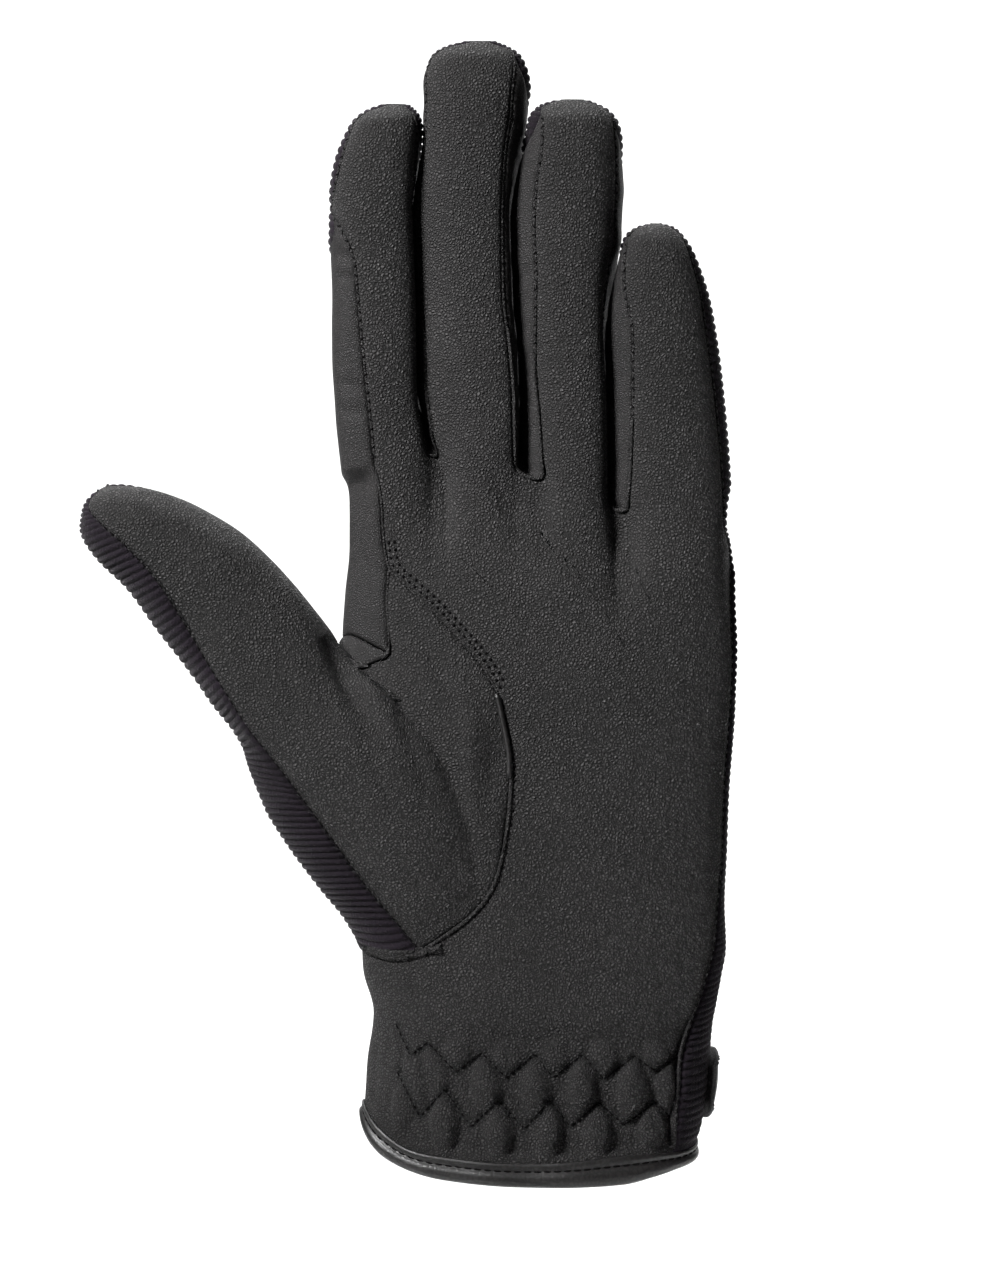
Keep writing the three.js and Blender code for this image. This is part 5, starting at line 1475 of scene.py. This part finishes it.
def seam_welts():
    """Turned edges along the seams, sunk between the panels; the slots have a fuller rim."""
    pattern = Pattern()
    radius = size("welt_width") / 2
    # Each line: its points and outward directions, its share of the welt's radius, its lift in millimetres.
    lines = []
    for finger in pattern.fingers:
        keys = ["front_left", "front_right", "back_left"] + ["back_right"] * (finger.name != "little")
        back_end = 0.72 if finger.name == "index" else 0.8
        for key in keys:
            end = 0.95 if key.startswith("front") else back_end
            lines.append((finger_seam(pattern, finger, key, end=end), 0.8, -0.32))
        for key in ("front_left", "front_right"):
            if (finger.name, key) not in (("index", "front_left"), ("little", "front_right")):
                lines.append((finger_seam(pattern, finger, key, 0.0, 0.3, count=40), 0.75, 0.0))
    count = 9
    for left, right in zip(pattern.fingers, pattern.fingers[1:]):
        turns = float(left.section(0)["front_right"]), -float(right.section(0)["front_left"])
        front = crotch_bridge(left, right, *turns, count)
        lines.append(((pattern.nest(front), np.tile([0.0, -1.0, 0.25], (count, 1)) / 1.03), 0.9, 0.0))
        back = crotch_bridge(left, right, BACK_SEAM_TURN, 360 - BACK_SEAM_TURN, count)
        lines.append(((pattern.nest(back), np.tile([0.0, 1.0, 0.25], (count, 1)) / 1.03), 1.0, -0.2))
    row = pattern.left_stops
    # Each stretch of the hand's seams: seam, start, end, points, share of the radius, lift.
    for run, start, end, number, thick, lift in (
            (pattern.palm_left, row[4], row[14], 120, 1.1, 0.05),
            (pattern.palm_left, row[14], row[-1], 120, 0.6, -0.15),
            (pattern.palm_left, row[0], row[4], 60, 0.7, -0.35),
            (pattern.palm_right, 0, 1, 120, 1.0, -0.4),
            (pattern.palm_right, 0, 0.1, 20, 2.2, -1.0),
            (pattern.back_left, 0.25, 1, 120, 0.7, -0.3),
            (pattern.side_front, 0.5, 1, 40, 0.7, -0.2)):
        lines.append((hand_seam(pattern, run, start, end, number), thick, lift))
    lines.append((thumb_seam(pattern, "rib"), 0.7, -0.35))
    lines.append((thumb_seam(pattern, "back"), 0.7, -0.3))
    lines.append((rib_seam_base(pattern), 0.7, -0.35))
    made = [tube(points, out, radius * thick, lift) for (points, out), thick, lift in lines]
    return place(bundle("seam_welts", made, leather("palm_leather")), "grained_leather")


def thumb_ridge():
    """The fuller turned edge that shows where the thumb's seam opens in the palm."""
    pattern = Pattern()
    row = pattern.left_stops
    points, out = hand_seam(pattern, pattern.palm_left, row[13], lerp(row[15], row[16], 0.85), count=60)
    made = tube(points + (-0.35, 0, 0), out, radius=0.6, lift=0.4, sides=12)
    return place(bundle("thumb_ridge", [made], leather("band_leather")), "smooth_leather")


def seam_threads():
    """Stitches along the seams of the fingers, thumb and palm."""
    pattern = Pattern()
    pitch = size("stitch_length")
    row = pattern.left_stops
    made = []
    for finger in pattern.fingers:
        for key in ("front_left", "front_right"):
            made += sew(*finger_seam(pattern, finger, key, end=0.9), pitch, fill_share=0.5, slant=0.9)
    rib_seam = thumb_seam(pattern, "rib", start=0.02, end=0.9, count=80)
    made += sew(*rib_seam, pitch, fill_share=0.7, lift=0.05)
    made += sew(*rib_seam_base(pattern), pitch, fill_share=0.7, lift=0.05)
    palm_edge = hand_seam(pattern, pattern.palm_right, 0.05, 0.97, count=160)
    made += sew(*palm_edge, pitch, fill_share=0.7)
    points, out = hand_seam(pattern, pattern.palm_left, row[5], row[14], count=160)
    made += sew(points + (0.55, 0, -0.2), out, pitch * 0.8, fill_share=0.85, lift=0.1, slant=1.1)
    return place(bundle("seam_threads", made, thread()), "smooth_leather")


def seam_holes():
    """Dark dots in the thread's colour along the double row of stitch holes beside the upper seam of the
    set-in thumb: painted shade of the holes.
    """
    pattern = Pattern()
    row = pattern.left_stops
    points, _ = hand_seam(pattern, pattern.palm_left, row[16], row[21], count=90)
    line = points[:, [0, 2]]
    step = np.gradient(line, axis=0)
    side = unit(np.stack([step[:, 1], -step[:, 0]], 1))
    made = []
    for gap, start in ((1.0, 0), (2.2, 2)):
        points, out = surface_line("palm_leather", (line + side * gap)[start:], spacing=0.4)
        for k in range(0, len(points), 4):
            along = unit(np.cross(out[k], (1.0, 0.0, 1.0)))
            # Each dot is a small dark body that stands for the painted shade of a hole.
            made.append(stitch(points[k], along, out[k], length=0.8, radius=0.36))
    return place(bundle("seam_holes", made, thread()), "smooth_leather")


def gather_threads():
    """Zigzag stitches of the elastic, the line along the top of the hem band, and those of the tab."""
    pattern = Pattern()
    pitch = size("stitch_length")
    made = []
    for line in ZIGZAGS:
        laid = surface_line("palm_leather", in_plane(line), spacing=0.5)
        made += sew(*laid, pitch * 0.85, fill_share=0.8, lift=0.08)
    turns = np.linspace(-180, 180, 361)
    up = lerp(hem_at(turns, 2), hem_at(turns, 1), BAND_STITCH_PLACE)
    out = pattern.hand.normal(turns, up)
    points = pattern.hand.point(turns, up) + out * (0.28 + band_waves(pattern, turns)[:, None])
    made += sew(points, out, pitch * 1.1, fill_share=0.75, lift=0.1)
    u = shares(120) * 0.96 + 0.02
    lift = np.full(len(u), TAB_LIFT + TAB_THICKNESS - 0.02)
    out = pattern.hand.normal(lerp(*TAB_TURNS, u), np.full(len(u), sum(TAB_HEIGHTS) / 2))
    for v in (0.09, 0.91):
        points = tab_point(pattern, u, np.full(len(u), v), lift)
        made += sew(points, out, pitch * 1.1, fill_share=0.75, lift=0.05)
    return place(bundle("gather_threads", made, thread()), "smooth_leather")


# Materials

def node(tree, kind, **settings):
    """A new node with its settings."""
    made = tree.nodes.new(kind)
    for key, value in settings.items():
        setattr(made, key, value)
    return made


def link(tree, source, out, target, into):
    """Joins an output to an input."""
    tree.links.new(source.outputs[out], target.inputs[into])


def set_inputs(made, **values):
    """Sets inputs of a node by their names, with _ for a space."""
    for key, value in values.items():
        made.inputs[key.replace("_", " ")].default_value = value


def group_frame(name, inputs, outputs):
    """A new shader node group with its named inputs and outputs, or the one that exists."""
    tree = bpy.data.node_groups.get(name)
    if tree is not None:
        return tree, None, None
    tree = bpy.data.node_groups.new(name, "ShaderNodeTree")
    for key, kind, value in inputs:
        made = tree.interface.new_socket(name=key, in_out="INPUT", socket_type=kind)
        if value is not None:
            made.default_value = value
    for key, kind in outputs:
        tree.interface.new_socket(name=key, in_out="OUTPUT", socket_type=kind)
    return tree, tree.nodes.new("NodeGroupInput"), tree.nodes.new("NodeGroupOutput")


def math_node(tree, operation, a, b=None):
    """A Math node; a and b are numbers or (node, output) pairs."""
    made = node(tree, "ShaderNodeMath", operation=operation)
    for i, value in enumerate((a, b)):
        if isinstance(value, tuple):
            link(tree, value[0], value[1], made, i)
        elif value is not None:
            made.inputs[i].default_value = value
    return made


def map_node(tree, source, low, high, to_low, to_high):
    """Maps a (node, output) pair from low and high to two other values."""
    made = node(tree, "ShaderNodeMapRange", clamp=True)
    link(tree, *source, made, "Value")
    set_inputs(made, From_Min=low, From_Max=high, To_Min=to_low, To_Max=to_high)
    return made


def noise_node(tree, source, scale, detail):
    """Noise over the place given by a (node, output) pair; scale per metre."""
    made = node(tree, "ShaderNodeTexNoise")
    set_inputs(made, Scale=scale, Detail=detail)
    link(tree, *source, made, "Vector")
    return made


def scaled_node(tree, source, factor):
    """A vector or colour scaled by a value, both (node, output) pairs."""
    made = node(tree, "ShaderNodeVectorMath", operation="SCALE")
    link(tree, *source, made, 0)
    link(tree, *factor, made, "Scale")
    return made


def cell_node(tree, source, scale, feature):
    """Cells over the place given by a (node, output) pair; scale is a pair too."""
    made = node(tree, "ShaderNodeTexVoronoi", feature=feature)
    link(tree, *source, made, "Vector")
    link(tree, *scale, made, "Scale")
    return made


def grain_group():
    """Pebbled leather grain: its height, its fine cracks, and slow blotches."""
    tree, start, end = group_frame(
        "Leather grain",
        [("Vector", "NodeSocketVector", None), ("Cells per metre", "NodeSocketFloat", 900.0),
         ("Warp", "NodeSocketFloat", 0.0006)],
        [("Height", "NodeSocketFloat"), ("Crack", "NodeSocketFloat"), ("Blotch", "NodeSocketFloat")])
    if start is None:
        return tree
    warp = noise_node(tree, (start, "Vector"), 260.0, 3.0)
    centred = node(tree, "ShaderNodeVectorMath", operation="SUBTRACT")
    link(tree, warp, "Color", centred, 0)
    centred.inputs[1].default_value = (0.5, 0.5, 0.5)
    shift = scaled_node(tree, (centred, "Vector"), (start, "Warp"))
    moved = node(tree, "ShaderNodeVectorMath", operation="ADD")
    link(tree, start, "Vector", moved, 0)
    link(tree, shift, "Vector", moved, 1)
    finer = math_node(tree, "MULTIPLY", (start, "Cells per metre"), 2.3)
    cells = cell_node(tree, (moved, "Vector"), (start, "Cells per metre"), "DISTANCE_TO_EDGE")
    small = cell_node(tree, (moved, "Vector"), (finer, 0), "DISTANCE_TO_EDGE")
    crack = map_node(tree, (cells, "Distance"), 0.02, 0.3, 1.0, 0.0)
    pebble = map_node(tree, (cells, "Distance"), 0.0, 0.45, 0.0, 1.0)
    fine = map_node(tree, (small, "Distance"), 0.0, 0.2, 0.0, 0.12)
    height = math_node(tree, "ADD", (pebble, 0), (fine, 0))
    blotch = noise_node(tree, (start, "Vector"), 42.0, 4.0)
    link(tree, height, 0, end, "Height")
    link(tree, crack, 0, end, "Crack")
    link(tree, blotch, "Fac", end, "Blotch")
    return tree


def wear_and_shade_group():
    """Colour of a surface: random blotches of tone, painted shade where the groove shade mask is high,
    darker in the grain's cracks; the Rubbed output, a share of rubbed edge, is used by no material.
    """
    tree, start, end = group_frame(
        "Wear",
        [("Colour", "NodeSocketColor", (0.03, 0.03, 0.03, 1)), ("Edge", "NodeSocketFloat", 0.0),
         ("Groove", "NodeSocketFloat", 0.0), ("Crack", "NodeSocketFloat", 0.0),
         ("Blotch", "NodeSocketFloat", 0.5), ("Blotch low", "NodeSocketFloat", 0.8),
         ("Blotch high", "NodeSocketFloat", 1.25)],
        [("Colour", "NodeSocketColor"), ("Rubbed", "NodeSocketFloat")])
    if start is None:
        return tree
    tone = node(tree, "ShaderNodeMapRange", clamp=True)
    link(tree, start, "Blotch", tone, "Value")
    set_inputs(tone, From_Min=0.3, From_Max=0.7)
    link(tree, start, "Blotch low", tone, "To Min")
    link(tree, start, "Blotch high", tone, "To Max")
    # Painted shade: the colour darkens by up to 0.6 where the groove shade mask is high (stitch grooves,
    # rib valleys).
    painted_shade = math_node(tree, "MULTIPLY", (start, "Groove"), 0.6)
    crack = math_node(tree, "MULTIPLY", (start, "Crack"), 0.9)
    total = math_node(tree, "ADD", (painted_shade, 0), (crack, 0))
    keep = math_node(tree, "SUBTRACT", 1.0, (total, 0))
    shade = math_node(tree, "MULTIPLY", (tone, 0), (keep, 0))
    coloured = scaled_node(tree, (start, "Colour"), (shade, 0))
    rubbed = map_node(tree, (start, "Edge"), 0.25, 0.6, 0.0, 1.0)
    share = math_node(tree, "MULTIPLY", (rubbed, 0), (start, "Blotch"))
    link(tree, coloured, "Vector", end, "Colour")
    link(tree, share, 0, end, "Rubbed")
    return tree


def fibre_group():
    """Knitted stretch cloth: the height of its loops and fibres, and slow fading."""
    tree, start, end = group_frame(
        "Cloth fibres",
        [("Vector", "NodeSocketVector", None), ("Loops per metre", "NodeSocketFloat", 1600.0)],
        [("Height", "NodeSocketFloat"), ("Fade", "NodeSocketFloat")])
    if start is None:
        return tree
    loops = cell_node(tree, (start, "Vector"), (start, "Loops per metre"), "SMOOTH_F1")
    set_inputs(loops, Randomness=0.55)
    fuzz = noise_node(tree, (start, "Vector"), 3800.0, 2.0)
    loop = math_node(tree, "SUBTRACT", 1.0, (loops, "Distance"))
    height = math_node(tree, "MULTIPLY", (loop, 0), (fuzz, "Fac"))
    fade = noise_node(tree, (start, "Vector"), 60.0, 3.0)
    link(tree, height, 0, end, "Height")
    link(tree, fade, "Fac", end, "Fade")
    return tree


def new_material(name):
    """A material and its nodes; the nodes are None where it was made before."""
    made = bpy.data.materials.get(name)
    if made is not None:
        return made, None
    made = bpy.data.materials.new(name)
    made.use_nodes = True
    return made, made.node_tree


def attribute(tree, name):
    """The value that a mesh keeps for each of its points under a name."""
    return node(tree, "ShaderNodeAttribute", attribute_type="GEOMETRY", attribute_name=name), "Fac"


def placed_group(tree, group):
    """A node group placed in a material."""
    made = tree.nodes.new("ShaderNodeGroup")
    made.node_tree = group
    return made


def surface(tree, group, density, wear_colour):
    """A grain or fibre group laid over the object, with the group of wear and painted shade in its colour.
    """
    place_in = node(tree, "ShaderNodeTexCoord")
    relief = placed_group(tree, group)
    relief.inputs[1].default_value = density
    link(tree, place_in, "Object", relief, "Vector")
    wear_and_shade = placed_group(tree, wear_and_shade_group())
    set_inputs(wear_and_shade, Colour=(*wear_colour, 1))
    link(tree, wear_and_shade, "Colour", tree.nodes["Principled BSDF"], "Base Color")
    return relief, wear_and_shade


def bump(tree, relief, distance):
    """Drives the normal from a group's Height; distance in metres."""
    made = node(tree, "ShaderNodeBump")
    set_inputs(made, Strength=1.0, Distance=distance)
    link(tree, relief, "Height", made, "Height")
    link(tree, made, "Normal", tree.nodes["Principled BSDF"], "Normal")


# Each leather: material's name, cells per metre, bump in metres, roughness low and high, specular level.
LEATHERS = {
    "palm_leather": ("Grained leather", 1500.0, 0.00036, 0.46, 0.85, 0.36),
    "smooth_leather": ("Smooth leather", 2000.0, 0.00014, 0.48, 0.75, 0.36),
    "band_leather": ("Band leather", 900.0, 0.00004, 0.36, 0.5, 0.6),
}
CLOTH_LOOPS = 1600.0
CLOTH_BUMP = 0.0004
THREAD_FIBRES = 5200.0
THREAD_BUMP = 0.00005


def leather(kind):
    """Leather with its grain, cracks, random tone and painted shade in its stitch grooves; the cracks are
    rougher than the pebbles.
    """
    name, cells, bump_height, rough_low, rough_high, specular = LEATHERS[kind]
    made, tree = new_material(name)
    if tree is None:
        return made
    shader = tree.nodes["Principled BSDF"]
    grain, wear_and_shade = surface(tree, grain_group(), cells, getattr(bpy.context.scene.glove_finish, kind))
    link(tree, *attribute(tree, "edge"), wear_and_shade, "Edge")
    # Painted shade: the groove mark darkens the colour in the stitch grooves.
    link(tree, *attribute(tree, "groove"), wear_and_shade, "Groove")
    link(tree, grain, "Crack", wear_and_shade, "Crack")
    link(tree, grain, "Blotch", wear_and_shade, "Blotch")
    rough = map_node(tree, (grain, "Height"), 0.0, 1.0, rough_high, rough_low)
    link(tree, rough, 0, shader, "Roughness")
    bump(tree, grain, bump_height)
    set_inputs(shader, Specular_IOR_Level=specular)
    return made


def cloth():
    """Matt stretch cloth, with painted shade in the valleys between its ribs."""
    made, tree = new_material("Ribbed stretch cloth")
    if tree is None:
        return made
    shader = tree.nodes["Principled BSDF"]
    fibres, wear_and_shade = surface(tree, fibre_group(), CLOTH_LOOPS, bpy.context.scene.glove_finish.rib_cloth)
    # Painted shade: the colour darkens in the valleys between the ribs.
    valley_shade = map_node(tree, attribute(tree, "rib"), 0.0, 1.0, 1.0, 0.0)
    link(tree, valley_shade, 0, wear_and_shade, "Groove")
    link(tree, fibres, "Fade", wear_and_shade, "Blotch")
    rough = map_node(tree, (fibres, "Height"), 0.0, 1.0, 0.92, 0.78)
    link(tree, rough, 0, shader, "Roughness")
    bump(tree, fibres, CLOTH_BUMP)
    set_inputs(shader, Sheen_Weight=0.08, Sheen_Roughness=0.4, Specular_IOR_Level=0.2)
    return made


def thread():
    """Dull black sewing thread."""
    made, tree = new_material("Sewing thread")
    if tree is None:
        return made
    shader = tree.nodes["Principled BSDF"]
    fibres, wear_and_shade = surface(tree, fibre_group(), THREAD_FIBRES, bpy.context.scene.glove_finish.thread)
    link(tree, fibres, "Fade", wear_and_shade, "Blotch")
    bump(tree, fibres, THREAD_BUMP)
    set_inputs(shader, Roughness=0.95, Specular_IOR_Level=0.08)
    return made


# Stage

CAMERA_DISTANCE = 1.7
FRAME_CENTRE = (-0.00738, 0.1152)
FRAME_HEIGHT = 0.2683
SENSOR = 36.0
FLOOR_HALF_WIDTH = 2.6
FLOOR_FRONT = -0.12
FLOOR_LEVEL = -0.03
BEND_START = 2.3
BEND_RADIUS = 0.7
WALL_TOP = 2.6
WORLD_LIGHT = 0.04
# Each light: name, place, aim, width, height, power in watts, spread in degrees.
LIGHTS = [
    ("key_light", (-0.55, -0.45, 0.66), (-0.06, 0, 0.2), 0.3, 0.3, 1.12, 29),
    ("fill_light", (-0.5, -1.5, 0.9), (0, 0, 0.12), 0.5, 0.5, 0.28, 180),
    ("top_light", (-0.2, 0.8, 1.5), (0, 1.0, 0), 0.9, 0.6, 12.0, 180),
    ("rear_light", (0.7, 1.7, 0.9), (0, 0, 0.12), 0.4, 0.4, 5.0, 180),
    ("backdrop_light", (0.0, 1.3, 2.2), (0, 2.8, 0), 2.4, 1.2, 90.0, 180),
]


def pale_floor():
    """A pale matt paint with faint blotches."""
    made, tree = new_material("Pale floor")
    if tree is None:
        return made
    shader = tree.nodes["Principled BSDF"]
    place_in = node(tree, "ShaderNodeTexCoord")
    speck = noise_node(tree, (place_in, "Object"), 30.0, 2.0)
    tone = map_node(tree, (speck, "Fac"), 0.3, 0.7, 0.97, 1.0)
    coloured = node(tree, "ShaderNodeVectorMath", operation="SCALE")
    coloured.inputs[0].default_value = tuple(bpy.context.scene.glove_finish.floor)
    link(tree, tone, 0, coloured, "Scale")
    link(tree, coloured, "Vector", shader, "Base Color")
    set_inputs(shader, Roughness=0.9)
    return made


def floor_and_backdrop():
    """One pale sheet: the floor, a soft bend and the wall behind."""
    angles = np.radians(np.linspace(0, 90, 25))
    bend = zip(BEND_START + BEND_RADIUS * np.sin(angles), FLOOR_LEVEL + BEND_RADIUS * (1 - np.cos(angles)))
    line = [(FLOOR_FRONT, FLOOR_LEVEL), *bend, (BEND_START + BEND_RADIUS, WALL_TOP)]
    points = np.array([(x, y, z) for y, z in line for x in (-FLOOR_HALF_WIDTH, FLOOR_HALF_WIDTH)])
    quads = grid_quads(np.arange(len(points)).reshape(-1, 2))
    mesh_object("floor_and_backdrop", points, [quads], pale_floor())


def look_at(made, place_at, aim):
    """Puts a light or camera in its place and turns it to its aim."""
    made.location = place_at
    made.rotation_mode = "QUATERNION"
    made.rotation_quaternion = (Vector(aim) - Vector(place_at)).to_track_quat("-Z", "Y")


def lights():
    """Soft area lights, and a world that is white to the camera and dim as a light."""
    for name, place_at, aim, wide, high, power, beam in LIGHTS:
        data = bpy.data.lights.new(name, "AREA")
        data.shape = "RECTANGLE"
        data.size, data.size_y, data.energy = wide, high, power
        data.spread = math.radians(beam)
        made = bpy.data.objects.new(name, data)
        bpy.context.scene.collection.objects.link(made)
        look_at(made, place_at, aim)
    world = bpy.data.worlds.new("Studio")
    world.use_nodes = True
    background = world.node_tree.nodes["Background"]
    set_inputs(background, Color=(1, 1, 1, 1))
    path = node(world.node_tree, "ShaderNodeLightPath")
    strength = map_node(world.node_tree, (path, "Is Camera Ray"), 0.0, 1.0, WORLD_LIGHT, 1.0)
    link(world.node_tree, strength, 0, background, "Strength")
    bpy.context.scene.world = world
    bpy.context.scene.view_settings.view_transform = "Standard"


def camera():
    """The camera in front of the palm, level with the middle of the picture."""
    data = bpy.data.cameras.new("camera")
    data.sensor_fit = "AUTO"
    data.sensor_width = SENSOR
    data.lens = SENSOR * CAMERA_DISTANCE / FRAME_HEIGHT
    data.clip_start, data.clip_end = 0.05, 20.0
    made = bpy.data.objects.new("camera", data)
    bpy.context.scene.collection.objects.link(made)
    x, z = FRAME_CENTRE
    look_at(made, (x, -CAMERA_DISTANCE, z), (x, 0, z))
    bpy.context.scene.camera = made


class GLOVE_OT_palm(bpy.types.Operator):
    """Build the grained palm with its finger fronts and cuff gathers"""

    bl_idname = "glove.palm"
    bl_label = "Palm leather"
    bl_options = {"REGISTER", "UNDO"}

    def execute(self, context):
        palm_panel()
        return {"FINISHED"}


class GLOVE_OT_back(bpy.types.Operator):
    """Build the ribbed back of the hand and fingers"""

    bl_idname = "glove.back"
    bl_label = "Back cloth"
    bl_options = {"REGISTER", "UNDO"}

    def execute(self, context):
        back_panel()
        return {"FINISHED"}


class GLOVE_OT_side(bpy.types.Operator):
    """Build the smooth leather along the index finger"""

    bl_idname = "glove.side"
    bl_label = "Side panel"
    bl_options = {"REGISTER", "UNDO"}

    def execute(self, context):
        index_side_panel()
        return {"FINISHED"}


class GLOVE_OT_strips(bpy.types.Operator):
    """Build the leather strips between the fingers"""

    bl_idname = "glove.strips"
    bl_label = "Finger strips"
    bl_options = {"REGISTER", "UNDO"}

    def execute(self, context):
        pattern = Pattern()
        for left, right in zip(pattern.fingers, pattern.fingers[1:]):
            fourchette(pattern, left, right)
        return {"FINISHED"}


class GLOVE_OT_thumb(bpy.types.Operator):
    """Build the thumb's leather, cloth and quirk"""

    bl_idname = "glove.thumb"
    bl_label = "Thumb"
    bl_options = {"REGISTER", "UNDO"}

    def execute(self, context):
        thumb_front()
        thumb_back()
        thumb_quirk()
        return {"FINISHED"}


class GLOVE_OT_hem(bpy.types.Operator):
    """Build the bound hem"""

    bl_idname = "glove.hem"
    bl_label = "Hem band"
    bl_options = {"REGISTER", "UNDO"}

    def execute(self, context):
        hem_band()
        return {"FINISHED"}


class GLOVE_OT_tab(bpy.types.Operator):
    """Build the tab at the wrist"""

    bl_idname = "glove.tab"
    bl_label = "Wrist tab"
    bl_options = {"REGISTER", "UNDO"}

    def execute(self, context):
        wrist_tab()
        return {"FINISHED"}


class GLOVE_OT_seams(bpy.types.Operator):
    """Build the welts, threads and the dark dots of painted shade at the stitch holes of the seams"""

    bl_idname = "glove.seams"
    bl_label = "Seams"
    bl_options = {"REGISTER", "UNDO"}

    def execute(self, context):
        seam_welts()
        thumb_ridge()
        seam_threads()
        seam_holes()
        return {"FINISHED"}


class GLOVE_OT_elastic(bpy.types.Operator):
    """Build the zigzag stitches of the cuff"""

    bl_idname = "glove.elastic"
    bl_label = "Elastic stitches"
    bl_options = {"REGISTER", "UNDO"}

    def execute(self, context):
        gather_threads()
        return {"FINISHED"}


class GLOVE_OT_stage(bpy.types.Operator):
    """Build the floor, lights and camera"""

    bl_idname = "glove.stage"
    bl_label = "Stage"
    bl_options = {"REGISTER", "UNDO"}

    def execute(self, context):
        floor_and_backdrop()
        lights()
        camera()
        return {"FINISHED"}


OPERATORS = [
    GLOVE_OT_palm, GLOVE_OT_back, GLOVE_OT_side, GLOVE_OT_strips, GLOVE_OT_thumb,
    GLOVE_OT_hem, GLOVE_OT_tab, GLOVE_OT_seams, GLOVE_OT_elastic, GLOVE_OT_stage,
]


class GLOVE_PT_panel(bpy.types.Panel):
    """Lists the glove's sizes, colours and building steps."""

    bl_label = "Riding glove"
    bl_idname = "GLOVE_PT_panel"
    bl_space_type = "VIEW_3D"
    bl_region_type = "UI"
    bl_category = "Glove"

    def draw(self, context):
        for group in (context.scene.glove_sizes, context.scene.glove_finish):
            box = self.layout.box()
            for key in group.__annotations__:
                box.prop(group, key)
        for made in OPERATORS:
            self.layout.operator(made.bl_idname)


CLASSES = [Sizes, Finish, *OPERATORS, GLOVE_PT_panel]


def register():
    """Registers the classes and hangs the sizes and colours on the scene."""
    for made in CLASSES:
        bpy.utils.register_class(made)
    bpy.types.Scene.glove_sizes = PointerProperty(type=Sizes)
    bpy.types.Scene.glove_finish = PointerProperty(type=Finish)


def unregister():
    """Takes back what register did."""
    del bpy.types.Scene.glove_finish
    del bpy.types.Scene.glove_sizes
    for made in reversed(CLASSES):
        bpy.utils.unregister_class(made)


def main():
    """Builds the glove and its stage."""
    register()
    for made in OPERATORS:
        getattr(bpy.ops.glove, made.bl_idname.split(".")[1])()


if __name__ == "__main__":
    main()
